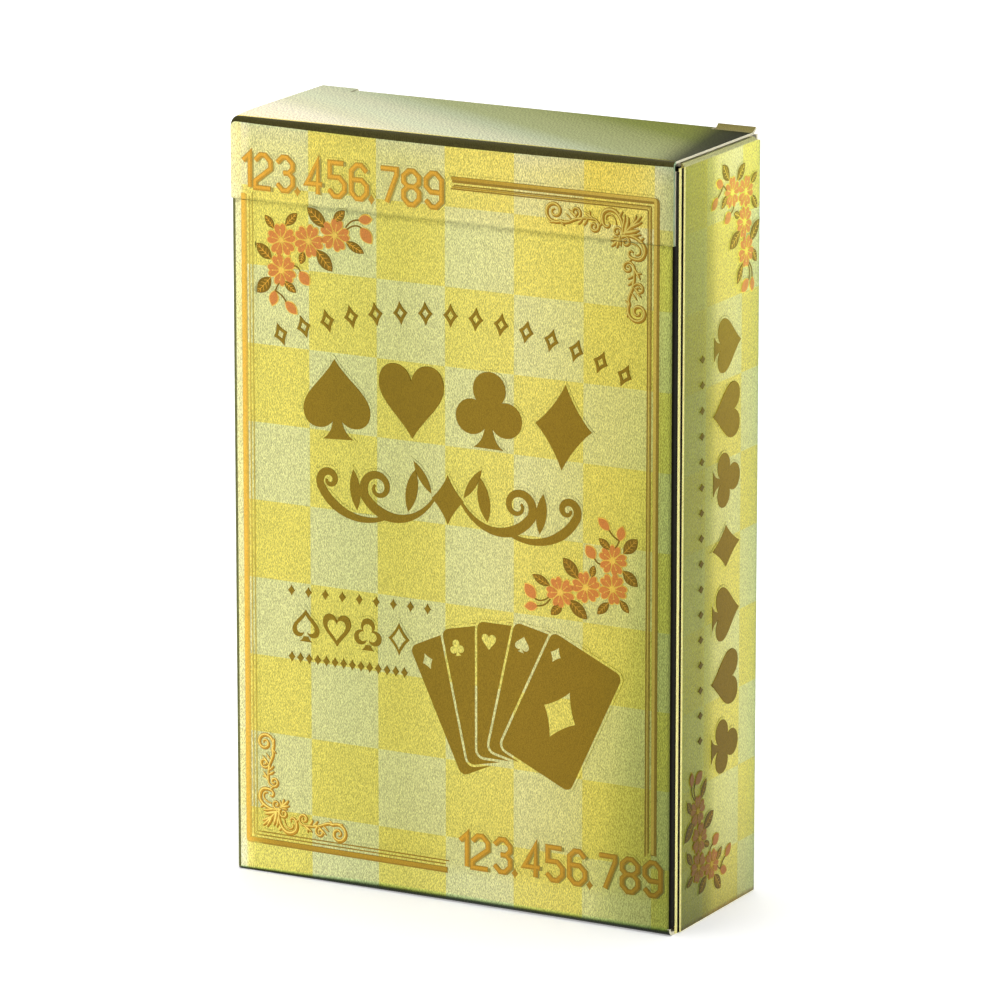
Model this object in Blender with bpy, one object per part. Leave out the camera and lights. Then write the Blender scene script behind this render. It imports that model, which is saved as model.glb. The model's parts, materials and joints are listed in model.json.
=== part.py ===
"""Playing card deck in an upright carton with a flip lid, folded from one sheet of foil board.

The carton is sized from the cards it holds. Front faces -Y, +X is to the right, +Z is up.
The origin is at the middle of the footprint, on the surface that the carton stands on.
"""

import math

import bmesh
import bpy
from mathutils import Vector

MM = 0.001

# Cards.
CARD_WIDTH = 58.0 * MM
CARD_HEIGHT = 89.0 * MM
CARD_THICKNESS = 0.31 * MM
CARD_AIR = 0.03 * MM
CARD_CORNER_RADIUS = 3.5 * MM
CARD_CORNER_STEPS = 4
COURT_CARDS = 3
COURT_GROOVE = 1.0 * MM

# Board, its folds and the air between its layers.
BOARD = 0.4 * MM
FOLD_INNER_RADIUS = 0.2 * MM
FOLD_STEPS = 5
SEAM_GAP = 0.05 * MM
LAYER_GAP = 0.1 * MM
GLUE_LAYER = 0.05 * MM

# Room around the deck.
SIDE_CLEARANCE = 0.375 * MM
FRONT_CLEARANCE = 0.3 * MM
BACK_CLEARANCE = 2.42 * MM
TUCK_CLEARANCE = 0.15 * MM
FLOOR_CLEARANCE = 0.1 * MM
HEADROOM = 2.9 * MM

# Lid.
LID_DEPTH = 10.0 * MM
EAR_WIDTH = 5.0 * MM
SLIT_WIDTH = 0.4 * MM
SLIT_LENGTH = 2.2 * MM
EAR_CURL_RADIUS = 1.6 * MM
EAR_CURL_ANGLE = math.radians(75.0)
EAR_CURL_STEPS = 5
TUCK_LENGTH = 9.0 * MM
TUCK_CORNER_RADIUS = 4.0 * MM
TUCK_CORNER_STEPS = 6

# Dust flaps under the lid.
DUST_LENGTH = 13.0 * MM
DUST_FRONT_MARGIN = 2.2 * MM
DUST_BACK_MARGIN = 1.6 * MM
DUST_FRONT_TAPER = 3.4 * MM
DUST_BACK_BEVEL = 4.5 * MM
DUST_SHOULDER = 2.2 * MM
DUST_CORNER_RADIUS = 1.5 * MM
DUST_CORNER_STEPS = 4

# Thumb notch in the back panel.
NOTCH_WIDTH = 16.0 * MM
NOTCH_DEPTH = 6.5 * MM
NOTCH_STEPS = 16

# Glued right side and bottom.
SIDE_SETBACK = 1.5 * MM
GLUE_FLAP_REACH = 15.0 * MM
GLUE_FLAP_TAPER = 3.0 * MM
BASE_FLAP_LENGTH = 14.0 * MM
BASE_FLAP_FRONT_MARGIN = 2.2 * MM
BASE_FLAP_BACK_MARGIN = 2.6 * MM
BASE_TAB_LENGTH = 8.0 * MM
BASE_TAB_SIDE_MARGIN = 1.6 * MM

RANKS = ("ace", "two", "three", "four", "five", "six", "seven", "eight", "nine", "ten")
SUITS = ("spades", "diamonds", "clubs", "hearts")

# Colours (linear), roughness and metallic values of the materials.
FOIL_OUTSIDE = (0.62, 0.50, 0.11, 1.0)
FOIL_LID = (0.52, 0.44, 0.15, 1.0)
BOARD_INSIDE = (0.80, 0.77, 0.70, 1.0)
CARD_STOCK = (0.86, 0.85, 0.81, 1.0)


def deck_order():
    """Names and thicknesses, in cards, of the deck's pieces from the front to the back."""
    order = [("black_joker", 1)]
    for position, suit in enumerate(SUITS):
        numbers = [(f"{rank}_of_{suit}", 1) for rank in RANKS]
        courts = [(f"court_cards_of_{suit}", COURT_CARDS)]
        if position < 2:
            order += numbers + courts
        else:
            order += courts + numbers[::-1]
    order.append(("red_joker", 1))
    return order


DECK = deck_order()
CARD_COUNT = sum(count for _, count in DECK)
CARD_PITCH = CARD_THICKNESS + CARD_AIR
DECK_DEPTH = CARD_COUNT * CARD_PITCH - CARD_AIR

# Outside of the carton, from the deck, the boards and the clearances.
FOLD = FOLD_INNER_RADIUS + BOARD
WIDTH = CARD_WIDTH + 2.0 * SIDE_CLEARANCE + 3.0 * BOARD + GLUE_LAYER
DEPTH = BOARD + FRONT_CLEARANCE + DECK_DEPTH + BACK_CLEARANCE + BOARD + TUCK_CLEARANCE + BOARD
BASE_FLAP_BOTTOM = BOARD + LAYER_GAP
DECK_BOTTOM = BASE_FLAP_BOTTOM + BOARD + FLOOR_CLEARANCE
DUST_BOTTOM = DECK_BOTTOM + CARD_HEIGHT + HEADROOM
DUST_TOP = DUST_BOTTOM + BOARD
HEIGHT = DUST_TOP + LAYER_GAP + BOARD

LEFT = -WIDTH / 2.0
RIGHT = WIDTH / 2.0
FRONT = -DEPTH / 2.0
BACK = DEPTH / 2.0
GLUE_FACE = RIGHT - BOARD - GLUE_LAYER
CREASE = HEIGHT - LID_DEPTH
LID_FACE = BACK - BOARD - TUCK_CLEARANCE
SIDE_TOP = DUST_TOP - FOLD
SIDE_BOTTOM = BASE_FLAP_BOTTOM + FOLD + SEAM_GAP
DECK_X = (LEFT + BOARD + GLUE_FACE - BOARD) / 2.0
DECK_FRONT = FRONT + BOARD + FRONT_CLEARANCE


def clear_scene():
    for item in list(bpy.data.objects):
        bpy.data.objects.remove(item, do_unlink=True)


def material(name, colour, roughness, metallic):
    made = bpy.data.materials.new(name)
    made.use_nodes = True
    made.diffuse_color = colour
    shader = made.node_tree.nodes["Principled BSDF"]
    shader.inputs["Base Color"].default_value = colour
    shader.inputs["Roughness"].default_value = roughness
    shader.inputs["Metallic"].default_value = metallic
    return made


def add_empty(name, location):
    empty = bpy.data.objects.new(name, None)
    empty.location = location
    bpy.context.scene.collection.objects.link(empty)
    return empty


def world_place(item):
    """Place of an object whose parents are moved but not turned."""
    place = Vector(item.location)
    while item.parent is not None:
        item = item.parent
        place += Vector(item.location)
    return place


def add_object(name, mesh, pivot, parent, look):
    """Link a mesh whose points are given from its pivot, and hang it on its parent."""
    item = bpy.data.objects.new(name, mesh)
    bpy.context.scene.collection.objects.link(item)
    pivot = Vector(pivot)
    item.location = pivot
    if parent is not None:
        item.parent = parent
        item.location = pivot - world_place(parent)
    if len(mesh.materials) == 0:
        mesh.materials.append(None)
    item.material_slots[0].link = "OBJECT"
    item.material_slots[0].material = look
    return item


def finish_mesh(name, shape):
    bmesh.ops.recalc_face_normals(shape, faces=shape.faces[:])
    mesh = bpy.data.meshes.new(name)
    shape.to_mesh(mesh)
    shape.free()
    return mesh


def arc(centre, radius, start, end, steps):
    """Points of a circular arc in a plane, angles in degrees."""
    points = []
    for step in range(steps + 1):
        angle = math.radians(start + (end - start) * step / steps)
        points.append((centre[0] + radius * math.cos(angle), centre[1] + radius * math.sin(angle)))
    return points


def fold(centre, start, end):
    """Pairs of outer and inner points of a board bent around a centre."""
    outer = arc(centre, FOLD, start, end, FOLD_STEPS)
    inner = arc(centre, FOLD_INNER_RADIUS, start, end, FOLD_STEPS)
    return list(zip(outer, inner))


def patch(columns, rows, place):
    """Quads of a bent board; place gives the outer and inner point at a column and a row."""
    quads = []
    for left, right in zip(columns, columns[1:]):
        for low, high in zip(rows, rows[1:]):
            quads.append((place(left, low), place(right, low), place(right, high), place(left, high)))
    return quads


def bent_board(name, quads, pivot):
    """One closed board from quads that share edges: both faces and the raw edges all round."""
    shape = bmesh.new()
    pairs = {}
    used = {}
    pivot = Vector(pivot)

    def corner(pair):
        key = tuple(round(value * 1.0e8) for value in pair[0])
        if key not in pairs:
            outer = shape.verts.new(Vector(pair[0]) - pivot)
            inner = shape.verts.new(Vector(pair[1]) - pivot)
            pairs[key] = (outer, inner)
        return key

    for quad in quads:
        keys = [corner(pair) for pair in quad]
        shape.faces.new([pairs[key][0] for key in keys])
        shape.faces.new([pairs[key][1] for key in reversed(keys)])
        for first, second in zip(keys, keys[1:] + keys[:1]):
            used[(first, second)] = True
    for first, second in used:
        if (second, first) not in used:
            outer_a, inner_a = pairs[first]
            outer_b, inner_b = pairs[second]
            shape.faces.new((outer_b, outer_a, inner_a, inner_b))
    return finish_mesh(name, shape)


def flat_board(name, outline, spread, thickness, pivot):
    """Extrude a plane outline; spread gives the point in space of an outline point."""
    shape = bmesh.new()
    pivot = Vector(pivot)
    corners = [shape.verts.new(Vector(spread(point)) - pivot) for point in outline]
    face = shape.faces.new(corners)
    grown = bmesh.ops.extrude_face_region(shape, geom=[face])
    moved = [part for part in grown["geom"] if isinstance(part, bmesh.types.BMVert)]
    bmesh.ops.translate(shape, verts=moved, vec=Vector(thickness))
    return finish_mesh(name, shape)


def rectangle(low_u, high_u, low_v, high_v):
    return [(low_u, low_v), (high_u, low_v), (high_u, high_v), (low_u, high_v)]


def round_corners(outline, radii, steps):
    """Round an outline's corners; a radius of None leaves its corner sharp."""
    points = []
    count = len(outline)
    for index, radius in enumerate(radii):
        here = Vector(outline[index])
        if radius is None:
            points.append(tuple(here))
            continue
        before = (Vector(outline[index - 1]) - here).normalized()
        after = (Vector(outline[(index + 1) % count]) - here).normalized()
        half = before.angle(after) / 2.0
        reach = radius / math.tan(half)
        centre = here + (before + after).normalized() * (radius / math.sin(half))
        begin = here + before * reach - centre
        finish = here + after * reach - centre
        turn = begin.angle_signed(finish)
        for step in range(steps + 1):
            angle = -turn * step / steps
            cosine = math.cos(angle)
            sine = math.sin(angle)
            points.append((centre.x + begin.x * cosine - begin.y * sine,
                           centre.y + begin.x * sine + begin.y * cosine))
    return points


def facing_front(level):
    return lambda point: (point[0], level, point[1])


def facing_up(level):
    return lambda point: (point[0], point[1], level)


def upright(pair, height):
    """A pair of plan points at a height."""
    return ((*pair[0], height), (*pair[1], height))


def across(pair, distance):
    """A pair of side-view points (y, z) at a distance to the right."""
    return ((distance, *pair[0]), (distance, *pair[1]))


def along(pair, distance):
    """A pair of front-view points (x, z) at a distance to the back."""
    return ((pair[0][0], distance, pair[0][1]), (pair[1][0], distance, pair[1][1]))


def make_front_panel(parent, look):
    outline = rectangle(LEFT + FOLD + SEAM_GAP, GLUE_FACE - FOLD - SEAM_GAP,
                        FOLD + SEAM_GAP, CREASE - SEAM_GAP / 2.0)
    pivot = (0.0, FRONT, FOLD + SEAM_GAP)
    mesh = flat_board("front_panel", outline, facing_front(FRONT), (0.0, BOARD, 0.0), pivot)
    return add_object("front_panel", mesh, pivot, parent, look)


def make_back_panel(parent, look):
    """Flat back with a round thumb notch in its top edge."""
    top = DUST_TOP
    radius = (NOTCH_WIDTH ** 2 / 4.0 + NOTCH_DEPTH ** 2) / (2.0 * NOTCH_DEPTH)
    centre = (0.0, top - NOTCH_DEPTH + radius)
    half = math.degrees(math.atan2(NOTCH_WIDTH / 2.0, radius - NOTCH_DEPTH))
    notch = arc(centre, radius, -90.0 + half, -90.0 - half, NOTCH_STEPS)
    low = LEFT + FOLD + SEAM_GAP
    high = RIGHT - FOLD - SEAM_GAP
    outline = [(low, 0.0), (high, 0.0), (high, top)] + notch + [(low, top)]
    pivot = (0.0, BACK, 0.0)
    mesh = flat_board("back_panel", outline, facing_front(BACK - BOARD), (0.0, BOARD, 0.0), pivot)
    return add_object("back_panel", mesh, pivot, parent, look)


def make_left_side_panel(parent, look):
    """Side with its folds to the front, the back and the dust flap; no front fold above the crease."""
    front_fold = fold((LEFT + FOLD, FRONT + FOLD), 270.0, 180.0)
    back_fold = fold((LEFT + FOLD, BACK - FOLD), 180.0, 90.0)
    ends = (FRONT + DUST_FRONT_MARGIN, BACK - DUST_BACK_MARGIN)
    flat = [((LEFT, y), (LEFT + BOARD, y)) for y in ends]
    columns = front_fold + flat + back_fold
    free = columns[len(front_fold) - 1:]
    quads = patch(columns, [SIDE_BOTTOM, CREASE], upright)
    quads += patch(free, [CREASE, SIDE_TOP], upright)
    top_fold = fold((LEFT + FOLD, SIDE_TOP), 180.0, 90.0)
    quads += patch(ends, top_fold, lambda y, pair: along(pair, y))
    pivot = (LEFT, 0.0, SIDE_BOTTOM)
    mesh = bent_board("left_side_panel", quads, pivot)
    return add_object("left_side_panel", mesh, pivot, parent, look)


def make_right_side_panel(parent, look):
    """Outer layer of the right side, folded from the back, with a raw edge near the front."""
    back_fold = fold((RIGHT - FOLD, BACK - FOLD), 90.0, 0.0)
    ends = (BACK - DUST_BACK_MARGIN, FRONT + DUST_FRONT_MARGIN)
    stations = ends + (FRONT + SIDE_SETBACK,)
    flat = [((RIGHT, y), (RIGHT - BOARD, y)) for y in stations]
    quads = patch(back_fold + flat, [SIDE_BOTTOM, SIDE_TOP], upright)
    top_fold = fold((RIGHT - FOLD, SIDE_TOP), 0.0, 90.0)
    quads += patch(ends, top_fold, lambda y, pair: along(pair, y))
    pivot = (RIGHT, 0.0, SIDE_BOTTOM)
    mesh = bent_board("right_side_panel", quads, pivot)
    return add_object("right_side_panel", mesh, pivot, parent, look)


def make_right_glue_flap(parent, look):
    """Inner layer of the right side, folded from the front and tapered at both ends."""
    front_fold = fold((GLUE_FACE - FOLD, FRONT + FOLD), 270.0, 360.0)
    reach = FRONT + GLUE_FLAP_REACH
    low = BASE_FLAP_BOTTOM + BOARD + LAYER_GAP
    high = SIDE_TOP - LAYER_GAP
    quads = patch(front_fold, [low, CREASE], upright)
    root = front_fold[-1]
    tip = ((GLUE_FACE, reach), (GLUE_FACE - BOARD, reach))
    root_rows = [low, CREASE, high]
    tip_rows = [low + GLUE_FLAP_TAPER, CREASE - GLUE_FLAP_TAPER, high - GLUE_FLAP_TAPER]
    for index in range(2):
        quads.append((upright(root, root_rows[index]), upright(tip, tip_rows[index]),
                      upright(tip, tip_rows[index + 1]), upright(root, root_rows[index + 1])))
    pivot = (GLUE_FACE, FRONT + FOLD, low)
    mesh = bent_board("right_glue_flap", quads, pivot)
    return add_object("right_glue_flap", mesh, pivot, parent, look)


def make_lid_front_strip(parent, look):
    """Front of the lid, hinged on the crease, with the fold up to the top panel."""
    low = CREASE + SEAM_GAP / 2.0
    bend = fold((FRONT + FOLD, HEIGHT - FOLD), 180.0, 90.0)
    rows = [((FRONT, low), (FRONT + BOARD, low))] + bend
    quads = patch([LEFT, GLUE_FACE], rows, lambda x, pair: across(pair, x))
    pivot = (0.0, FRONT, CREASE)
    mesh = bent_board("lid_front_strip", quads, pivot)
    return add_object("lid_front_strip", mesh, pivot, parent, look)


def make_lid_top_panel(parent, look):
    """Top of the lid: a flat ear, a curled ear, and between their slits the fold to the tuck flap."""
    near = FRONT + FOLD + SEAM_GAP
    slit = BACK - SLIT_LENGTH
    bend_start = LID_FACE - FOLD
    xs = (LEFT, LEFT + EAR_WIDTH, LEFT + EAR_WIDTH + SLIT_WIDTH,
          GLUE_FACE - EAR_WIDTH - SLIT_WIDTH, GLUE_FACE - EAR_WIDTH, GLUE_FACE)

    def level(y):
        return ((y, HEIGHT), (y, HEIGHT - BOARD))

    def place(x, pair):
        return across(pair, x)

    curl_low = EAR_CURL_RADIUS + BOARD
    curl_end = -90.0 + math.degrees(EAR_CURL_ANGLE)
    curl_centre = (slit, HEIGHT + EAR_CURL_RADIUS)
    curl_outer = arc(curl_centre, EAR_CURL_RADIUS, -90.0, curl_end, EAR_CURL_STEPS)
    curl_inner = arc(curl_centre, curl_low, -90.0, curl_end, EAR_CURL_STEPS)
    tuck_fold = fold((bend_start, HEIGHT - FOLD), 90.0, 0.0)
    quads = patch(xs, [level(near), level(slit)], place)
    quads += patch(xs[0:2], [level(slit), level(BACK)], place)
    quads += patch(xs[2:4], [level(slit)] + tuck_fold, place)
    quads += patch(xs[4:6], list(zip(curl_outer, curl_inner)), place)
    pivot = (0.0, FRONT + FOLD, HEIGHT)
    mesh = bent_board("lid_top_panel", quads, pivot)
    return add_object("lid_top_panel", mesh, pivot, parent, look)


def make_lid_tuck_flap(parent, look):
    """Flap behind the deck, between the slits, with rounded lower corners."""
    low = LEFT + EAR_WIDTH + SLIT_WIDTH
    high = GLUE_FACE - EAR_WIDTH - SLIT_WIDTH
    outline = rectangle(low, high, HEIGHT - TUCK_LENGTH, HEIGHT - FOLD - SEAM_GAP)
    radii = (TUCK_CORNER_RADIUS, TUCK_CORNER_RADIUS, None, None)
    outline = round_corners(outline, radii, TUCK_CORNER_STEPS)
    pivot = (0.0, LID_FACE - BOARD, HEIGHT - FOLD)
    inner = facing_front(LID_FACE - BOARD)
    mesh = flat_board("lid_tuck_flap", outline, inner, (0.0, BOARD, 0.0), pivot)
    return add_object("lid_tuck_flap", mesh, pivot, parent, look)


def make_dust_flap(name, side, parent, look):
    """Tapered flap under the top panel; side is -1 on the left and 1 on the right."""
    root = side * (RIGHT - FOLD)
    start = root - side * SEAM_GAP
    shoulder = root - side * DUST_SHOULDER
    bevel = shoulder - side * DUST_BACK_BEVEL
    tip = root - side * DUST_LENGTH
    near = FRONT + DUST_FRONT_MARGIN
    far = BACK - DUST_BACK_MARGIN
    outline = [(start, near), (tip, near + DUST_FRONT_TAPER), (tip, far - DUST_BACK_BEVEL),
               (bevel, far - DUST_BACK_BEVEL), (shoulder, far), (start, far)]
    radii = (None, DUST_CORNER_RADIUS, DUST_CORNER_RADIUS, None, None, None)
    outline = round_corners(outline, radii, DUST_CORNER_STEPS)
    pivot = (root, 0.0, DUST_TOP)
    mesh = flat_board(name, outline, facing_up(DUST_BOTTOM), (0.0, 0.0, BOARD), pivot)
    return add_object(name, mesh, pivot, parent, look)


def make_bottom_panel(parent, look):
    """Bottom, folded from the front panel and up into the tab behind the deck."""
    tab_face = BACK - BOARD - GLUE_LAYER
    rows = fold((tab_face - FOLD, FOLD), 360.0, 270.0) + fold((FRONT + FOLD, FOLD), 270.0, 180.0)
    quads = patch([LEFT, GLUE_FACE], rows, lambda x, pair: across(pair, x))
    pivot = (0.0, FRONT + FOLD, 0.0)
    mesh = bent_board("bottom_panel", quads, pivot)
    return add_object("bottom_panel", mesh, pivot, parent, look)


def make_bottom_glue_tab(parent, look):
    """Tab of the bottom panel, glued inside the back panel."""
    tab_face = BACK - BOARD - GLUE_LAYER
    low = LEFT + BASE_TAB_SIDE_MARGIN
    high = GLUE_FACE - BASE_TAB_SIDE_MARGIN
    outline = rectangle(low, high, FOLD + SEAM_GAP, FOLD + BASE_TAB_LENGTH)
    pivot = (0.0, tab_face, FOLD)
    inner = facing_front(tab_face - BOARD)
    mesh = flat_board("bottom_glue_tab", outline, inner, (0.0, BOARD, 0.0), pivot)
    return add_object("bottom_glue_tab", mesh, pivot, parent, look)


def make_bottom_dust_flap(name, side, parent, look):
    """Flap on the bottom panel, with its fold down from the side panel."""
    near = FRONT + BASE_FLAP_FRONT_MARGIN
    far = BACK - BASE_FLAP_BACK_MARGIN
    bend = fold((RIGHT - FOLD, BASE_FLAP_BOTTOM + FOLD), 360.0, 270.0)
    tip = RIGHT - BASE_FLAP_LENGTH
    rows = bend + [((tip, BASE_FLAP_BOTTOM), (tip, BASE_FLAP_BOTTOM + BOARD))]
    rows = [((side * a[0], a[1]), (side * b[0], b[1])) for a, b in rows]
    quads = patch([near, far], rows, lambda y, pair: along(pair, y))
    pivot = (side * RIGHT, 0.0, BASE_FLAP_BOTTOM)
    mesh = bent_board(name, quads, pivot)
    return add_object(name, mesh, pivot, parent, look)


def card_outline(inset):
    """Round-cornered card outline in its own plane, standing on its lower edge."""
    half = CARD_WIDTH / 2.0 - inset
    outline = rectangle(-half, half, inset, CARD_HEIGHT - inset)
    return round_corners(outline, (CARD_CORNER_RADIUS - inset,) * 4, CARD_CORNER_STEPS)


def make_card_mesh():
    """One card with rounded corners, its face on the plane y = 0."""
    thickness = (0.0, CARD_THICKNESS, 0.0)
    return flat_board("card", card_outline(0.0), facing_front(0.0), thickness, (0.0, 0.0, 0.0))


def make_court_mesh():
    """Court cards of a suit as one block, with a groove all round between neighbours."""
    shape = bmesh.new()
    loops = []
    for card in range(COURT_CARDS):
        front = card * CARD_PITCH
        if card > 0:
            loops.append((COURT_GROOVE, front - CARD_AIR))
            loops.append((COURT_GROOVE, front))
        loops.append((0.0, front))
        loops.append((0.0, front + CARD_THICKNESS))
    rings = []
    for inset, y in loops:
        rings.append([shape.verts.new((x, y, z)) for x, z in card_outline(inset)])
    for low, high in zip(rings, rings[1:]):
        for index in range(len(low)):
            other = (index + 1) % len(low)
            shape.faces.new((low[index], low[other], high[other], high[index]))
    shape.faces.new(rings[0])
    shape.faces.new(rings[-1])
    return finish_mesh("court_cards", shape)


def make_deck(looks):
    """All cards standing in the carton, in the order of a new deck."""
    deck = add_empty("deck", (DECK_X, DECK_FRONT, DECK_BOTTOM))
    card = make_card_mesh()
    court = make_court_mesh()
    passed = 0
    for name, count in DECK:
        mesh = card if count == 1 else court
        pivot = (DECK_X, DECK_FRONT + passed * CARD_PITCH, DECK_BOTTOM)
        red = name.endswith(("diamonds", "hearts")) or name == "red_joker"
        add_object(name, mesh, pivot, deck, looks["red" if red else "black"])
        passed += count
    return deck


def main():
    clear_scene()
    foil = material("gold_foil_board", FOIL_OUTSIDE, 0.32, 0.85)
    lid_foil = material("gold_foil_lid", FOIL_LID, 0.30, 0.85)
    plain = material("plain_board", BOARD_INSIDE, 0.80, 0.0)
    looks = {
        "black": material("card_stock_black_suits", CARD_STOCK, 0.55, 0.0),
        "red": material("card_stock_red_suits", CARD_STOCK, 0.55, 0.0),
    }
    front = make_front_panel(None, foil)
    left = make_left_side_panel(front, foil)
    back = make_back_panel(left, foil)
    right = make_right_side_panel(back, foil)
    make_right_glue_flap(front, plain)
    strip = make_lid_front_strip(front, lid_foil)
    top = make_lid_top_panel(strip, lid_foil)
    make_lid_tuck_flap(top, lid_foil)
    make_dust_flap("left_dust_flap", -1.0, left, plain)
    make_dust_flap("right_dust_flap", 1.0, right, plain)
    bottom = make_bottom_panel(front, foil)
    make_bottom_glue_tab(bottom, plain)
    make_bottom_dust_flap("bottom_left_dust_flap", -1.0, left, plain)
    make_bottom_dust_flap("bottom_right_dust_flap", 1.0, right, plain)
    make_deck(looks)


main()
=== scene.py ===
"""Looks of a playing card deck: a gold foil carton with a flip lid, its embossed print, and the cards.

Laid out as an add-on with one operator for each group of pieces, and run as a script.
"""

import json
import math

import bmesh
import bpy
from mathutils import Matrix, Vector
from mathutils.geometry import delaunay_2d_cdt


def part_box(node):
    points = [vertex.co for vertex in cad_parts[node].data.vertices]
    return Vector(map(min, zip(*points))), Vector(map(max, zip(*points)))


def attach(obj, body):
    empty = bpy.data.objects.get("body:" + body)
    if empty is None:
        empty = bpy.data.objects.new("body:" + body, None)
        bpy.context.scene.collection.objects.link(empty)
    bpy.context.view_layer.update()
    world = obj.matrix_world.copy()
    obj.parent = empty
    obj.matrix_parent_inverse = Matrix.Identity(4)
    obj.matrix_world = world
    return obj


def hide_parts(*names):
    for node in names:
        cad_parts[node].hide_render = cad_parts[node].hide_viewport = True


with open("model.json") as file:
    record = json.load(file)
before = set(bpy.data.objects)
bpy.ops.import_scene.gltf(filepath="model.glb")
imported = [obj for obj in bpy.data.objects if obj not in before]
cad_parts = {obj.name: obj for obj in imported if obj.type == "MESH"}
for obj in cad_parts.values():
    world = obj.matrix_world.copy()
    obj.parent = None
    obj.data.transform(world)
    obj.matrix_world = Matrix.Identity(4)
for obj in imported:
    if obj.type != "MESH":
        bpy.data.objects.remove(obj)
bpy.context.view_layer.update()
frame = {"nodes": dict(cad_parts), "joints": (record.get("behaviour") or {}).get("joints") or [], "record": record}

bl_info = {
    "name": "Foil carton card deck",
    "version": (1, 0, 0),
    "blender": (4, 5, 0),
    "location": "3D View > Sidebar > Card Deck",
    "description": "Dresses a playing card deck in an embossed gold foil carton",
    "category": "Object",
}

MM = 0.001

# Outside of the carton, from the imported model.
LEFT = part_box("left_side_panel")[0].x
RIGHT_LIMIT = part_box("right_side_panel")[1].x
FRONT_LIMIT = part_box("front_panel")[0].y
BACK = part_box("back_panel")[1].y
BACK_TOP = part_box("back_panel")[1].z
LID_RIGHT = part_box("lid_front_strip")[1].x
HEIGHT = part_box("lid_front_strip")[1].z
SIDE_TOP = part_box("right_glue_flap")[1].z + 0.1 * MM
CREASE = next(joint for joint in frame["joints"] if joint["name"] == "lid_crease")["pos_m"][2]

# Finishes of a board's faces: printed side, unprinted side, cut edge, pressed fold, a painted highlight on an
# edge and a painted highlight on a fold.
PRINTED, INSIDE, CUT, FOLDED, HIGHLIT, HIGHLIT_FOLD = range(6)
# Cards of the whole deck, two of them jokers.
CARDS = 54


def linear(code):
    """Linear red, green and blue of an sRGB hex colour."""
    levels = [int(code[place:place + 2], 16) / 255.0 for place in (1, 3, 5)]
    return [level / 12.92 if level <= 0.04045 else ((level + 0.055) / 1.055) ** 2.4 for level in levels]


def number(label, value, words, **more):
    """A plain number for the sidebar."""
    return bpy.props.FloatProperty(name=label, description=words, default=value, **more)


def length(label, millimetres, words):
    """A length for the sidebar."""
    return number(label, millimetres * MM, words, unit="LENGTH", precision=5)


def colour(label, code, words):
    """A colour for the sidebar."""
    return bpy.props.FloatVectorProperty(name=label, description=words, default=linear(code),
                                         subtype="COLOR", size=3, min=0.0, max=1.0)


class CartonSizes(bpy.types.PropertyGroup):
    """Board and folds of the carton."""
    board: length("Board", 0.4, "Thickness of the board")
    fold: length("Fold", 0.6, "Outer radius of a fold")
    swell: length("Fold swell", 0.35, "How much rounder the top front fold is in the middle")
    relief: length("Relief", 0.12, "Depth from the outermost print down to the foil ground")
    crease_depth: length("Crease depth", 0.09, "Depth of the pressed crease under the lid")
    crease_width: length("Crease width", 0.35, "Half width of the pressed crease")
    worn_corner: length("Worn corner", 0.8, "Radius of the rubbed corner of the lid")


class PrintSizes(bpy.types.PropertyGroup):
    """Pattern and embossing of the print."""
    square_width: length("Square width", 9.28, "Width of a square of the checked ground")
    square_height: length("Square height", 9.68, "Height of a square of the checked ground")
    grain: length("Grain", 0.26, "Width of a bump of the pebbled foil")
    rim: length("Rim", 0.28, "Width of the raised foil around a motif")
    slope: length("Slope", 0.1, "Width of an embossed edge")
    numeral: length("Numeral", 4.6, "Height of the numerals")


class Finishes(bpy.types.PropertyGroup):
    """Colours of the foil, the inks and the papers, and of painted light and shade on them."""
    yellow: colour("Yellow foil", "#DCD062", "Yellow squares")
    pale: colour("Pale foil", "#D4D492", "Pale squares")
    # Painted sky reflection: on the pale squares under the lid's fold, and darker on the lid strip's cut edges.
    cool: colour("Cool foil", "#C2CCB4", "Pale squares where the foil turns up to the sky")
    top: colour("Lid foil", "#D2D29C", "Top of the lid")
    # Painted shade on the lid's top fold and on the left side's folds.
    fold: colour("Fold", "#6E6430", "Foil stretched over a fold")
    # Painted shade on the lid's curled ear.
    ear: colour("Ear", "#8C8248", "Curled ear of the lid and the top folds of the sides")
    cut: colour("Cut edge", "#FAF5D4", "Cut edge of the board")
    # Painted highlight on the right side's raw edge, its cut board included.
    bright: colour("Bright edge", "#FFF29E", "Rubbed edge of the foil")
    # Painted shade in the groove beside the raw edge.
    groove: colour("Groove", "#120C04", "Crushed line behind the raw edge")
    inside: colour("Inside", "#E6E2D6", "Unprinted side of the board")
    bronze: colour("Bronze ink", "#92761E", "Large motifs")
    gold: colour("Gold ink", "#E0AE4C", "Numerals and leaf veins")
    # Painted shadow beside the scrolls' lines.
    gold_edge: colour("Gold ink edge", "#A8802A", "Edges of the gold ink")
    gold_mid: colour("Gold ink body", "#C49A46", "Bodies of the scrolls and rims of the numerals")
    gold_light: colour("Gold ink light", "#F6E48C", "Lit lines on the scrolls")
    gold_shade: colour("Gold ink shade", "#A8A268", "Soft shade beside the numerals")
    line: colour("Frame ink", "#EAB44C", "Frame lines and scrolls")
    line_edge: colour("Frame ink edge", "#C89A48", "Shaded edges of the frame lines and scrolls")
    petal: colour("Petal ink", "#DA8842", "Blossoms")
    outline: colour("Outline", "#EFC85A", "Lines around petals")
    leaf: colour("Leaf ink", "#86671C", "Leaves and stems")
    card: colour("Card", "#F1EEE4", "Card stock")


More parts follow.
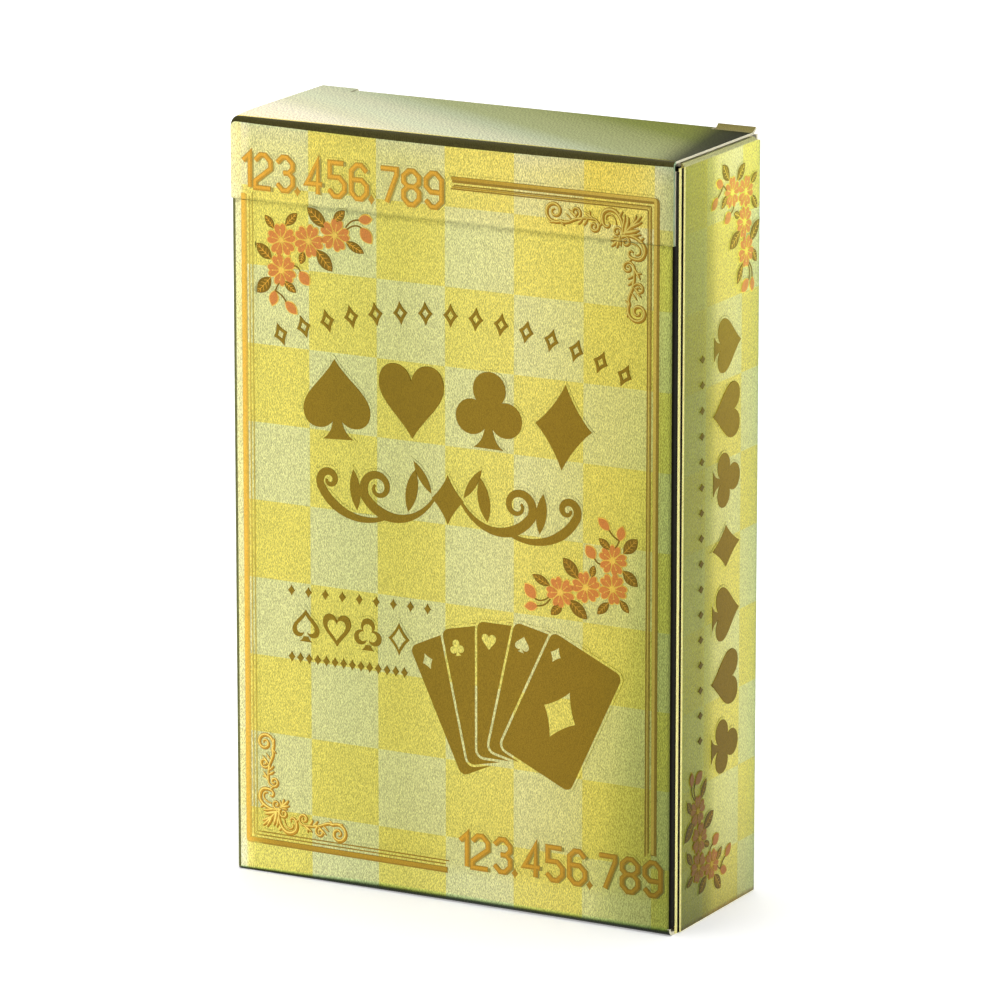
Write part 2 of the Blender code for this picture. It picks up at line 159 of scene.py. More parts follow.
class StageSettings(bpy.types.PropertyGroup):
    """Camera and studio light."""
    azimuth: number("Azimuth", math.radians(28.4646), "Camera turn to the right of the front",
                    subtype="ANGLE")
    elevation: number("Elevation", math.radians(13.9867), "Camera angle above the floor", subtype="ANGLE")
    distance: length("Distance", 879.42, "Camera to the middle of the carton")
    lens: number("Lens", 262.84, "Focal length on a 36 mm sensor, in millimetres")
    aim_right: length("Aim right", 0.5807, "Camera moved to its right")
    aim_up: length("Aim up", 0.68, "Camera moved up")
    key: number("Key light", 1.75, "Power of the large left light, in watts")
    fill: number("Fill", 0.3, "Strength of the surrounding light")
    overhead: number("Overhead", 4.4, "Strength of the soft light from above")
    floor_glow: number("Floor glow", 0.34, "Light that the white table gives off")


# Materials

def add_node(tree, kind, settings=None, inputs=None):
    """Add a node; inputs are values or output sockets, by name or place."""
    node = tree.nodes.new(kind)
    for key, value in (settings or {}).items():
        setattr(node, key, value)
    for key, value in (inputs or {}).items():
        if isinstance(value, bpy.types.NodeSocket):
            tree.links.new(value, node.inputs[key])
        else:
            node.inputs[key].default_value = value
    return node


def new_material(name, metallic, roughness):
    """A named material with its shader and Object coordinates."""
    made = bpy.data.materials.new(name)
    made.use_nodes = True
    tree = made.node_tree
    shader = tree.nodes["Principled BSDF"]
    shader.inputs["Metallic"].default_value = metallic
    shader.inputs["Roughness"].default_value = roughness
    where = add_node(tree, "ShaderNodeTexCoord").outputs["Object"]
    return made, tree, shader, where


def opaque(values):
    """A colour with its alpha."""
    return (*values, 1.0)


# Stretch of the foil's grain, and how strong its bumps and their painted light and shade are:
# on the panels, and on the lid's top.
ROLLED_GRAIN = ((2.5, 2.5, 1.1), 0.28)
LID_GRAIN = ((1.6, 0.5, 1.1), 0.2)


def pebble(tree, shader, where, grain, strength, wave=0.0, squeeze=ROLLED_GRAIN[0]):
    """Pebbled surface of rolled foil on a slightly wavy board; returns slopes for painted light and shade."""
    heights = []
    tight = add_node(tree, "ShaderNodeVectorMath", {"operation": "MULTIPLY"}, {0: where, 1: squeeze})
    for shift in (0.0, 0.3):
        beside = add_node(tree, "ShaderNodeVectorMath", {"operation": "ADD"},
                          {0: tight.outputs[0], 1: (shift * grain, shift * grain, -0.25 * shift * grain)})
        noise = add_node(tree, "ShaderNodeTexNoise", None, {"Vector": beside.outputs[0], "Scale": 1.0 / grain,
                                                            "Detail": 0.8, "Roughness": 0.5})
        heights.append(noise.outputs["Fac"])
    normal = add_node(tree, "ShaderNodeBump", None,
                      {"Strength": strength, "Distance": 0.1 * MM, "Height": heights[0]})
    if wave > 0.0:
        slow = add_node(tree, "ShaderNodeTexNoise", None, {"Vector": where, "Scale": 45.0, "Detail": 1.0})
        normal = add_node(tree, "ShaderNodeBump", None,
                          {"Strength": wave, "Distance": 0.6 * MM, "Height": slow.outputs["Fac"],
                           "Normal": normal.outputs["Normal"]})
    tree.links.new(normal.outputs["Normal"], shader.inputs["Normal"])
    slopes = add_node(tree, "ShaderNodeMath", {"operation": "SUBTRACT"}, {0: heights[1], 1: heights[0]})
    return slopes.outputs[0]


def paint_grain_shading(tree, shader, base, grain_shading, low, high):
    """Multiply a colour by painted light and shade on the slopes of the grain."""
    levels = add_node(tree, "ShaderNodeMapRange", None,
                      {"Value": grain_shading, "From Min": -0.15, "From Max": 0.15, "To Min": low, "To Max": high})
    tint = add_node(tree, "ShaderNodeMix", {"data_type": "RGBA", "blend_type": "MULTIPLY"},
                    {0: 1.0, 6: base, 7: levels.outputs["Result"]})
    tree.links.new(tint.outputs[2], shader.inputs["Base Color"])


def paint_light(tree, where, base, stops):
    """Multiply a colour by painted sheen and shade: stops are (millimetres along the axis, level)."""
    low, high = stops[0][0], stops[-1][0]
    along = add_node(tree, "ShaderNodeMapRange", None,
                     {"Value": where, "From Min": low * MM, "From Max": high * MM})
    ramp = add_node(tree, "ShaderNodeValToRGB", None, {"Fac": along.outputs["Result"]})
    elements = ramp.color_ramp.elements
    for index, (at, level) in enumerate(stops):
        share = (at - low) / (high - low)
        element = elements[index] if index < 2 else elements.new(share)
        element.position = share
        levels = level if isinstance(level, tuple) else (level, level, level)
        # A ramp holds levels up to one, so they are halved in it and doubled after it.
        element.color = opaque([part / 2.0 for part in levels])
    double = add_node(tree, "ShaderNodeVectorMath", {"operation": "SCALE"},
                      {0: ramp.outputs["Color"], "Scale": 2.0})
    tint = add_node(tree, "ShaderNodeMix", {"data_type": "RGBA", "blend_type": "MULTIPLY"},
                    {0: 1.0, 6: base, 7: double.outputs[0]})
    return tint.outputs[2]


def aslant(tree, place, axis, slant):
    """Place along x plus a share of another axis."""
    return add_node(tree, "ShaderNodeMath", {"operation": "MULTIPLY_ADD"},
                    {0: place[axis], 1: slant, 2: place["X"]}).outputs[0]


def even(level):
    """Stops of the same level all over."""
    return ((-100.0, level), (100.0, level))


# Painted sheen and shade across the front, black at its right fold, and across the lid's strip, less dark at the
# right.
FRONT_SHEEN = ((-30.0, (1.5, 1.42, 1.7)), (-28.9, (1.42, 1.32, 1.4)), (-28.0, (1.25, 1.18, 1.4)),
               (-27.2, 1.03), (-22.0, 1.02), (-14.0, (0.89, 0.92, 0.92)), (-7.0, (0.85, 0.87, 0.84)),
               (2.0, (0.97, 0.98, 1.06)), (10.0, (1.0, 0.98, 1.06)), (20.0, (0.89, 0.87, 0.77)),
               (26.5, (0.8, 0.79, 0.66)), (27.6, (0.7, 0.74, 0.61)), (29.0, (0.67, 0.74, 0.6)),
               (29.26, (0.6, 0.62, 0.5)), (29.34, (0.42, 0.46, 0.36)), (29.41, (0.2, 0.23, 0.17)),
               (29.48, (0.06, 0.075, 0.05)), (29.58, (0.012, 0.016, 0.008)))
STRIP_SHEEN = FRONT_SHEEN[:9] + ((20.0, (0.93, 0.88, 0.75)), (25.0, (0.92, 0.89, 0.9)),
                                 (27.3, (0.86, 0.89, 1.1)), (28.6, (0.66, 0.73, 0.9)),
                                 (29.58, (0.5, 0.56, 0.68)))
# Along x and a share of z: painted shade on the lower right of the front.
CORNER_SLANT = -0.12
CORNER_SHADE = ((15.0, 1.0), (18.8, (0.94, 0.97, 0.95)), (19.6, (0.87, 0.91, 0.88)),
                (21.0, (0.76, 0.82, 0.77)), (23.2, (0.65, 0.72, 0.67)), (25.5, (0.59, 0.65, 0.6)),
                (28.0, (0.54, 0.6, 0.55)))
# Painted sheen and shade up the front and the strip, with painted shade at the crease and at the strip's top fold.
FRONT_SHEEN_UP = ((0.0, (1.12, 1.15, 1.36)), (3.4, (1.07, 1.1, 1.3)), (5.0, 1.01), (10.0, 0.96), (20.0, 0.97),
              (60.0, 1.0), (75.0, 1.03), (83.35, 1.05), (83.8, 0.78))
STRIP_SHEEN_UP = ((83.8, 0.78), (84.2, (1.05, 1.02, 1.05)), (92.6, (1.12, 1.06, 1.04)),
              (93.2, (0.98, 1.02, 1.02)), (93.6, (0.72, 0.8, 0.84)), (94.0, (0.4, 0.47, 0.5)))
# In thousandths of the bottom fold's radius: painted shade where the front rolls under.
FOOT_SHEEN = ((0.0, (0.035, 0.045, 0.036)), (500.0, (0.035, 0.05, 0.04)), (620.0, (0.08, 0.11, 0.09)),
              (760.0, (0.25, 0.34, 0.29)), (900.0, (0.55, 0.7, 0.62)), (1050.0, (0.84, 0.97, 0.9)),
              (1250.0, 1.0))
# Painted sheen and shade on the right side and its inks, from front to back and from the foot to the top.
SIDE_SHEEN = ((-11.2, (0.33, 0.4, 0.17)), (-6.5, (0.41, 0.47, 0.21)), (-4.0, (0.43, 0.49, 0.23)),
              (-2.0, (0.6, 0.65, 0.38)), (0.0, (0.94, 0.97, 0.8)), (4.0, (1.04, 1.07, 0.95)),
              (8.0, (0.97, 1.02, 0.88)), (10.2, (0.86, 0.95, 0.8)), (10.8, (0.5, 0.66, 0.56)),
              (11.2, (0.25, 0.38, 0.32)))
SIDE_SHEEN_UP = ((0.0, (0.3, 0.2, 0.1)), (0.3, (0.4, 0.3, 0.2)), (0.55, 0.68), (4.0, 0.74), (14.0, 0.92),
             (30.0, 0.95), (52.0, 0.95), (64.0, 1.0), (70.0, 1.04), (76.6, 1.12), (81.5, 1.2), (88.0, 1.36),
             (94.0, 1.5))
SIDE_INK_SHEEN_UP = ((0.0, 0.62), (20.0, 0.66), (50.0, 0.9), (72.0, (1.22, 1.4, 1.55)), (94.0, (1.45, 1.95, 2.0)))
# Painted sheen and shade on the lid's top, along x and a share of y: light at the left, dark in its right front
# corner.
TOP_SLANT, SHADE_SLANT = 2.0, 0.2
TOP_SHEEN = ((-43.0, (1.63, 1.51, 2.05)), (-34.0, (1.51, 1.41, 2.0)), (-26.0, (1.21, 1.18, 1.49)),
             (-18.0, (1.1, 1.14, 1.45)), (-10.0, (1.01, 1.02, 1.29)), (-2.0, (0.76, 0.83, 0.97)),
             (5.0, (0.61, 0.66, 0.58)), (14.0, (0.57, 0.61, 0.49)), (22.0, (0.49, 0.53, 0.36)),
             (30.0, (0.34, 0.39, 0.125)), (40.0, (0.3, 0.33, 0.067)))
TOP_SHADE = ((23.0, 1.0), (25.0, 0.8), (26.4, 0.45), (27.4, 0.2), (30.0, 0.1))
# Painted sheen and shade on the inks on the front, from left to right.
NUMERAL_SHEEN = ((-30.0, (1.1, 1.0, 0.7)), (-10.0, (0.95, 0.9, 0.6)), (5.0, (0.85, 0.8, 0.5)),
                 (27.0, (0.62, 0.6, 0.4)))
LINE_SHEEN = ((-30.0, (1.12, 1.2, 1.15)), (-28.0, (1.05, 1.12, 1.0)), (-27.0, (0.72, 0.8, 0.6)),
              (-24.0, (0.58, 0.63, 0.46)), (0.0, (0.56, 0.62, 0.46)), (15.0, (0.62, 0.74, 0.68)),
              (27.5, (0.66, 0.85, 0.98)))
LINE_EDGE_SHEEN = ((-30.0, (1.35, 1.55, 1.21)), (-28.0, (1.25, 1.45, 1.2)), (-27.2, (1.05, 1.5, 1.35)),
                   (-26.0, (0.66, 0.75, 0.55)), (0.0, (0.56, 0.62, 0.46)), (27.5, (0.47, 0.54, 0.46)))
# Foil without a painted sheen along an axis: plain; darker for the painted shade on the lid's fold; lighter and
# cooler for the painted shade on the left folds; darker for the painted sky reflection on the strip's cut edges.
EVEN, DIMMED = even(1.0), even((0.42, 0.45, 0.45))
TURNED, END_REFLECTION = even((1.05, 1.35, 1.5)), even((0.65, 0.85, 0.66))


def checked_foil(name, sizes, finishes, across, start_across, start_up, stops, rise, fade, cool=0.0,
                 foot=False):
    """Gold foil laminated on board and pebble rolled: squares of two golds, soft broken highlights, painted sheen
    and shade.
    """
    made, tree, shader, where = new_material(name, 0.85, 0.36)
    place = add_node(tree, "ShaderNodeSeparateXYZ", None, {"Vector": where}).outputs
    steps = []
    for axis, start, size in ((across, start_across, sizes.square_width),
                              ("Z", start_up, sizes.square_height)):
        offset = add_node(tree, "ShaderNodeMath", {"operation": "SUBTRACT"}, {0: place[axis], 1: start * MM})
        count = add_node(tree, "ShaderNodeMath", {"operation": "DIVIDE"}, {0: offset.outputs[0], 1: size})
        steps.append(add_node(tree, "ShaderNodeMath", {"operation": "FLOOR"}, {0: count.outputs[0]}))
    total = add_node(tree, "ShaderNodeMath", {"operation": "ADD"},
                     {0: steps[0].outputs[0], 1: steps[1].outputs[0]})
    odd = add_node(tree, "ShaderNodeMath", {"operation": "FLOORED_MODULO"}, {0: total.outputs[0], 1: 2.0})
    fading = add_node(tree, "ShaderNodeMapRange", None,
                      {"Value": place[across], "From Min": stops[0][0] * MM, "From Max": stops[-1][0] * MM,
                       "To Min": fade[0], "To Max": fade[1]})
    share = add_node(tree, "ShaderNodeMath", {"operation": "MULTIPLY"},
                     {0: odd.outputs[0], 1: fading.outputs["Result"]})
    if across == "X":
        # The left edge has a pale border all the way up.
        border = add_node(tree, "ShaderNodeMapRange", None,
                          {"Value": place["X"], "From Min": LEFT + 1.3 * MM, "From Max": LEFT + 1.8 * MM,
                           "To Min": 0.8, "To Max": 0.0})
        share = add_node(tree, "ShaderNodeMath", {"operation": "MAXIMUM"},
                         {0: share.outputs[0], 1: border.outputs["Result"]})
    squares = add_node(tree, "ShaderNodeMix", {"data_type": "RGBA"},
                       {0: share.outputs[0], 6: opaque(finishes.yellow), 7: opaque(finishes.pale)})
    # Painted reflection: the pale squares take the sky's cool tint just under the lid's top fold.
    upper = add_node(tree, "ShaderNodeMapRange", None,
                     {"Value": place["Z"], "From Min": HEIGHT - 3.0 * MM, "From Max": HEIGHT - 0.5 * MM,
                      "To Min": 0.0, "To Max": cool})
    sky_share = add_node(tree, "ShaderNodeMath", {"operation": "MULTIPLY"},
                      {0: odd.outputs[0], 1: upper.outputs["Result"]})
    squares = add_node(tree, "ShaderNodeMix", {"data_type": "RGBA"},
                       {0: sky_share.outputs[0], 6: squares.outputs[2], 7: opaque(finishes.cool)})
    grain_shading = pebble(tree, shader, where, sizes.grain, 0.8, 0.1)
    lit = paint_light(tree, place["Z"], paint_light(tree, place[across], squares.outputs[2], stops), rise)
    if foot:
        # The bottom's fold is tight at the left corner and rounder to the right.
        radius = add_node(tree, "ShaderNodeMapRange", None,
                          {"Value": place["X"], "From Min": LEFT, "From Max": LEFT + 20.0 * MM,
                           "To Min": 0.42 * MM, "To Max": 0.93 * MM})
        height = add_node(tree, "ShaderNodeMath", {"operation": "DIVIDE"},
                          {0: place["Z"], 1: radius.outputs["Result"]})
        # Painted shade where the front rolls under, and on its lower right corner.
        lit = paint_light(tree, height.outputs[0], lit, FOOT_SHEEN)
        lit = paint_light(tree, aslant(tree, place, "Z", CORNER_SLANT), lit, CORNER_SHADE)
    paint_grain_shading(tree, shader, lit, grain_shading, 0.67, 1.33)
    return made


def plain_foil(name, sizes, tone, metallic, roughness, stops=EVEN, shade=EVEN, tint=(0.33, 0.33, 0.22),
               grain=ROLLED_GRAIN, gloss=0.5):
    """The same foil without the squares; its painted sheen and shade lie aslant over the lid."""
    made, tree, shader, where = new_material(name, metallic, roughness)
    shader.inputs["Specular Tint"].default_value = opaque(tint)
    shader.inputs["Specular IOR Level"].default_value = gloss
    place = add_node(tree, "ShaderNodeSeparateXYZ", None, {"Vector": where}).outputs
    squeeze, bumps_and_shading = grain
    grain_shading = pebble(tree, shader, where, sizes.grain, bumps_and_shading * 1.8, 0.1, squeeze)
    lit = paint_light(tree, aslant(tree, place, "Y", TOP_SLANT), opaque(tone), stops)
    lit = paint_light(tree, aslant(tree, place, "Y", SHADE_SLANT), lit, shade)
    paint_grain_shading(tree, shader, lit, grain_shading, 1.0 - bumps_and_shading, 1.0 + bumps_and_shading)
    return made


def ink(name, sizes, tone, metallic, roughness, contrast, face):
    """Screen ink printed on the foil, under painted sheen and shade; its bumps show as fine painted light and
    shade.
    """
    made, tree, shader, where = new_material(f"{name}_ink_{face}", metallic, roughness)
    shader.inputs["Specular Tint"].default_value = (0.9, 0.75, 0.35, 1.0)
    place = add_node(tree, "ShaderNodeSeparateXYZ", None, {"Vector": where}).outputs
    grain_shading = pebble(tree, shader, where, sizes.grain * 0.7, 0.25)
    # Painted sheen and shade, as on the foil under the ink.
    if face == "front":
        stops = {"line": LINE_SHEEN, "line_edge": LINE_EDGE_SHEEN}
        stops = stops.get(name, NUMERAL_SHEEN if name.startswith("gold") else FRONT_SHEEN)
        lit = paint_light(tree, place["X"], opaque(tone), stops)
        lit = paint_light(tree, aslant(tree, place, "Z", CORNER_SLANT), lit, CORNER_SHADE)
    else:
        lit = paint_light(tree, place["Z"], paint_light(tree, place["Y"], opaque(tone), SIDE_SHEEN), SIDE_INK_SHEEN_UP)
    paint_grain_shading(tree, shader, lit, grain_shading, 1.0 - contrast, 1.0 + contrast)
    return made


def paper(name, tone, grain, contrast, roughness):
    """Uncoated paper fibre: matt, with faint flecks of painted light and shade."""
    made, tree, shader, where = new_material(name, 0.0, roughness)
    grain_shading = pebble(tree, shader, where, grain, 0.2)
    paint_grain_shading(tree, shader, opaque(tone), grain_shading, 1.0 - contrast, 1.0 + contrast * 0.4)
    return made


def card_stock(name, tone, pitch):
    """Coated card: a grey line of painted shade along the middle of each card's thickness parts the cards in the
    deck's edges.
    """
    made, tree, shader, where = new_material(name, 0.0, 0.5)
    place = add_node(tree, "ShaderNodeSeparateXYZ", None, {"Vector": where}).outputs
    depth = add_node(tree, "ShaderNodeMath", {"operation": "FLOORED_MODULO"}, {0: place["Y"], 1: pitch})
    stops = [(share * pitch / MM, level) for share, level in
             ((0.0, 1.0), (0.25, 1.0), (0.5, 0.62), (0.75, 1.0), (1.0, 1.0))]
    tree.links.new(paint_light(tree, depth.outputs[0], opaque(tone), stops), shader.inputs["Base Color"])
    return made


LOOKS = {}


def make_looks(context):
    """All finishes, made once and kept by name."""
    sizes, finishes = context.scene.deck_print, context.scene.deck_finishes
    across_front, along_side = (sizes, finishes, "X", -0.75, 8.2), (sizes, finishes, "Y", 6.2, 7.3)
    dull = (even(0.9), EVEN, (0.8, 0.8))
    for look, name, *finish in (
            ("front", "front", *across_front, FRONT_SHEEN, FRONT_SHEEN_UP, (1.0, 0.62), 0.0, True),
            ("strip", "lid", *across_front, STRIP_SHEEN, STRIP_SHEEN_UP, (0.9, 0.58), 0.3),
            ("back", "back", *across_front, *dull),
            ("side", "side", *along_side, SIDE_SHEEN, SIDE_SHEEN_UP, (0.25, 1.0)),
            ("left", "left_side", *along_side, *dull)):
        LOOKS[look] = checked_foil(f"checked_gold_foil_{name}", *finish)
    lid = (0.0, 0.7, TOP_SHEEN, TOP_SHADE, (0.66, 0.66, 0.52), LID_GRAIN, 0.1)
    for look, name, tone, *finish in (
            ("flap", "gold_foil_flap", "yellow", 0.85, 0.4, EVEN, EVEN, (1.0, 1.0, 1.0)),
            # Painted sheen and shade on the lid's top.
            ("top", "gold_foil_lid_top", "top", *lid),
            # Painted highlight along the front edge of the lid's top.
            ("top_rub", "rubbed_foil_lid_fold", "yellow", *lid),
            # Painted shade on the lid's top fold.
            ("fold", "gold_foil_fold", "fold", 0.3, 0.5, DIMMED),
            # Painted shade on the left side's folds, in a lighter and cooler tone.
            ("left_fold", "gold_foil_left_fold", "fold", 0.3, 0.5, TURNED),
            # Painted shade on the lid's curled ear.
            ("ear", "gold_foil_curled_edge", "ear", 0.2, 0.5),
            # Painted shade in the groove beside the right side's raw edge.
            ("groove", "crushed_foil_groove", "groove", 0.3, 0.6, EVEN, EVEN, (0.12, 0.12, 0.06)),
            # Painted highlight on the right side's top fold.
            ("side_fold", "gold_foil_side_fold", "pale", 0.2, 0.5, EVEN, EVEN, (0.9, 0.9, 0.7)),
            # Painted highlight on the right side's raw edge, its cut board included.
            ("bright", "rubbed_foil_edge", "bright", 0.8, 0.42),
            # Darker painted sky reflection on the lid strip's cut edges.
            ("strip_end", "crushed_foil_strip_end", "cool", 0.3, 0.5, END_REFLECTION)):
        LOOKS[look] = plain_foil(name, sizes, getattr(finishes, tone), *finish)
    LOOKS["cut"] = paper("greyboard_cut_edge", finishes.cut, 0.15 * MM, 0.06, 0.85)
    LOOKS["inside"] = paper("uncoated_board_inside", finishes.inside, 0.5 * MM, 0.04, 0.8)
    for name, metallic, roughness, contrast, faces in (
            ("bronze", 0.5, 0.45, 0.22, "front side"), ("gold", 0.7, 0.36, 0.14, "front side"),
            ("gold_edge", 0.7, 0.4, 0.18, "front"), ("gold_mid", 0.7, 0.4, 0.18, "front"),
            ("gold_light", 0.7, 0.36, 0.14, "front"), ("gold_shade", 0.7, 0.4, 0.2, "front"),
            ("line", 0.7, 0.36, 0.16, "front"), ("line_edge", 0.7, 0.4, 0.18, "front"),
            ("petal", 0.25, 0.45, 0.16, "front side"), ("outline", 0.7, 0.35, 0.12, "front side"),
            ("leaf", 0.4, 0.45, 0.3, "front side")):
        for face in faces.split():
            LOOKS[f"{name}_{face}"] = ink(name, sizes, getattr(finishes, name), metallic, roughness,
                                          contrast, face)
    pitch = (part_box("red_joker")[0].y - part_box("black_joker")[0].y) / (CARDS - 1)
    LOOKS["card"] = card_stock("coated_card_stock", finishes.card, pitch)


# Boards

def spread(low, high, count):
    """Values from low to high in equal steps."""
    return [low + (high - low) * step / count for step in range(count + 1)]


def arc(centre, radius, start, end, steps):
    """Points of a circular arc in a plane, angles in degrees."""
    return [(centre[0] + radius * math.cos(math.radians(angle)),
             centre[1] + radius * math.sin(math.radians(angle))) for angle in spread(start, end, steps)]


def bend(centre, radius, board, start, end, steps=8):
    """Pairs of outer and inner points of a board bent around a centre."""
    return list(zip(arc(centre, radius, start, end, steps), arc(centre, radius - board, start, end, steps)))


def link(mesh, looks=()):
    """An object at the origin, named like its mesh, with its finishes in order."""
    item = bpy.data.objects.new(mesh.name, mesh)
    bpy.context.scene.collection.objects.link(item)
    for look in looks:
        mesh.materials.append(LOOKS[look])
    return item


def dress(mesh, looks, body, slot, *nodes):
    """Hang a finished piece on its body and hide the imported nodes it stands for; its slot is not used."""
    item = link(mesh, looks)
    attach(item, body)
    if nodes:
        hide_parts(*nodes)


def close_mesh(name, shape, sharp=35.0):
    """Mesh of a shape, smooth but for edges sharper than an angle in degrees."""
    bmesh.ops.recalc_face_normals(shape, faces=shape.faces[:])
    mesh = bpy.data.meshes.new(name)
    shape.to_mesh(mesh)
    shape.free()
    mesh.set_sharp_from_angle(angle=math.radians(sharp))
    return mesh


def board_mesh(name, patches):
    """One closed board from patches that share edges: both faces, and the cut edge all round.

    A patch is its columns, its rows, a function for the outer and inner point, and its finish."""
    shape = bmesh.new()
    pairs, used = {}, {}

    def corner(pair):
        key = tuple(round(value * 1.0e8) for value in pair[0])
        if key not in pairs:
            pairs[key] = (shape.verts.new(pair[0]), shape.verts.new(pair[1]))
        return key

    def face(corners, finish):
        made = shape.faces.new(corners)
        made.material_index = finish
        made.smooth = True

    for columns, rows, place, finish in patches:
        for left, right in zip(columns, columns[1:]):
            for low, high in zip(rows, rows[1:]):
                keys = [corner(place(*at)) for at in ((left, low), (right, low), (right, high), (left, high))]
                face([pairs[key][0] for key in keys], finish)
                face([pairs[key][1] for key in reversed(keys)], INSIDE)
                used.update({edge: True for edge in zip(keys, keys[1:] + keys[:1])})
    for first, second in used:
        if (second, first) not in used:
            face((pairs[second][0], pairs[first][0], pairs[first][1], pairs[second][1]), CUT)
    return close_mesh(name, shape)


def flat_board_mesh(name, outline, spot, thickness):
    """A flat board cut to an outline; spot gives the point in space of its printed side."""
    shape = bmesh.new()
    thickness = Vector(thickness)
    outer = [shape.verts.new(spot(point)) for point in outline]
    inner = [shape.verts.new(corner.co + thickness) for corner in outer]
    shape.faces.new(outer).material_index = PRINTED
    shape.faces.new(inner[::-1]).material_index = INSIDE
    count = len(outline)
    for place in range(count):
        after = (place + 1) % count
        shape.faces.new((outer[after], outer[place], inner[place], inner[after])).material_index = CUT
    return close_mesh(name, shape)


def round_corners(outline, radii, steps=6):
    """Round an outline's corners; a radius of None leaves its corner sharp."""
    points = []
    count = len(outline)
    for index, radius in enumerate(radii):
        here = Vector(outline[index])
        if radius is None:
            points.append(tuple(here))
            continue
        before = (Vector(outline[index - 1]) - here).normalized()
        after = (Vector(outline[(index + 1) % count]) - here).normalized()
        half = before.angle(after) / 2.0
        centre = here + (before + after).normalized() * (radius / math.sin(half))
        begin = here + before * (radius / math.tan(half)) - centre
        finish = here + after * (radius / math.tan(half)) - centre
        turn = begin.angle_signed(finish)
        for step in range(steps + 1):
            points.append(tuple(centre + Matrix.Rotation(-turn * step / steps, 2) @ begin))
    return points


def round_off(radius, distance):
    """How far a rounded corner lies back at a distance from its edge."""
    inside = max(0.0, radius - distance)
    return radius - math.sqrt(max(0.0, radius * radius - inside * inside))


# A pair is the outer and the inner point of a board in a plane; these place it in space.

def upright(pair, z):
    return tuple(Vector((*point, z)) for point in pair)


def across_x(x, pair):
    return tuple(Vector((x, *point)) for point in pair)


def along_y(y, pair):
    return tuple(Vector((u, y, v)) for u, v in pair)


def on_fold(x, centre, outer, inner, angle):
    """Points on both radii of a fold that runs along x, at an angle in degrees."""
    turn = math.radians(angle)
    return across_x(x, [(centre[0] + radius * math.cos(turn), centre[1] + radius * math.sin(turn))
                        for radius in (outer, inner)])


def standing(y):
    """Places the points of a flat outline upright at a depth."""
    return lambda point: Vector((point[0], y, point[1]))


class Carton:
    """Sizes that the board pieces share."""

    def __init__(self, context):
        sizes = context.scene.deck_carton
        self.sizes = sizes
        self.board = sizes.board
        self.fold = sizes.fold
        self.front = FRONT_LIMIT + sizes.relief
        self.right = RIGHT_LIMIT - sizes.relief
        self.heights = spread(0.3 * MM, CREASE, 24)

    def bottom_fold(self, x):
        """Radius of the bottom's front fold: tight at the left corner and rounder to the right."""
        stops = ((LEFT, 0.25), (-18.0 * MM, 0.55), (0.0, 0.85), (15.0 * MM, 0.95), (RIGHT_LIMIT, 0.85))
        for (low, first), (high, second) in zip(stops, stops[1:]):
            if x <= high:
                return (first + (second - first) * (x - low) / (high - low)) * MM
        return stops[-1][1] * MM

    def dip(self, z):
        """Depth of the pressed crease at a height."""
        return self.sizes.crease_depth * math.exp(-((z - CREASE) / self.sizes.crease_width) ** 2)

    def near_crease(self, way):
        """Heights that follow the crease's shape, below it (-1) or above it (1)."""
        return [CREASE + way * offset * MM for offset in (0.0, 0.1, 0.2, 0.3, 0.42, 0.58, 0.8, 1.2)]

    def top_fold(self, x):
        """Radius of the lid's front fold: rounder in the middle than at the ends."""
        share = (x - (LEFT + LID_RIGHT) / 2.0) / ((LID_RIGHT - LEFT) / 2.0)
        return self.fold + self.sizes.swell * (1.0 - share * share)

    def corner_drop(self, x):
        """How far the rubbed left corner of the lid lies below its top."""
        return round_off(self.sizes.worn_corner, x - LEFT)

    def lid_columns(self):
        """Stations across the lid, close together at its rubbed corner."""
        worn = [LEFT + offset * MM for offset in (0.0, 0.06, 0.15, 0.3, 0.5, 0.8)]
        return worn + spread(LEFT + 1.6 * MM, LID_RIGHT, 40)


def make_front_panel(carton):
    """Front, with its share of the pressed crease; its foot ends where the bottom's fold begins."""
    rows = spread(0.0, CREASE - 2.0 * MM, 20) + carton.near_crease(-1.0)[::-1]
    columns = spread(LEFT + carton.fold, LID_RIGHT - carton.fold, 30)

    def place(x, z):
        y = carton.front + carton.dip(z)
        z = max(z, carton.bottom_fold(x))
        return across_x(x, ((y, z), (y + carton.board, z)))

    dress(board_mesh("front_panel_board", [(columns, rows, place, PRINTED)]),
          ("front", "inside", "cut", "fold"), "carton", "gold_foil_board", "front_panel")


def make_left_side(carton):
    """Left side, between its folds to the front, the back and the dust flap."""
    fold, board = carton.fold, carton.board
    front_fold = bend((LEFT + fold, carton.front + fold), fold, board, 270.0, 180.0)
    back_fold = bend((LEFT + fold, BACK - fold), fold, board, 180.0, 90.0)
    low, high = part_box("left_dust_flap")[0].y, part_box("left_dust_flap")[1].y
    stations = [carton.front + fold] + spread(low, high, 12) + [BACK - fold]
    flat = [((LEFT, y), (LEFT + board, y)) for y in stations]
    patches = [(front_fold, carton.heights, upright, FOLDED)]
    patches += [(run, rows, upright, PRINTED) for run in (flat, back_fold)
                for rows in (carton.heights, [CREASE, SIDE_TOP])]
    top_fold = bend((LEFT + fold, SIDE_TOP), fold, board, 180.0, 90.0)
    patches.append((stations[1:-1], top_fold, along_y, FOLDED))
    # Its folds take painted shade.
    dress(board_mesh("left_side_board", patches), ("left", "inside", "cut", "left_fold"),
          "carton", "gold_foil_board", "left_side_panel")


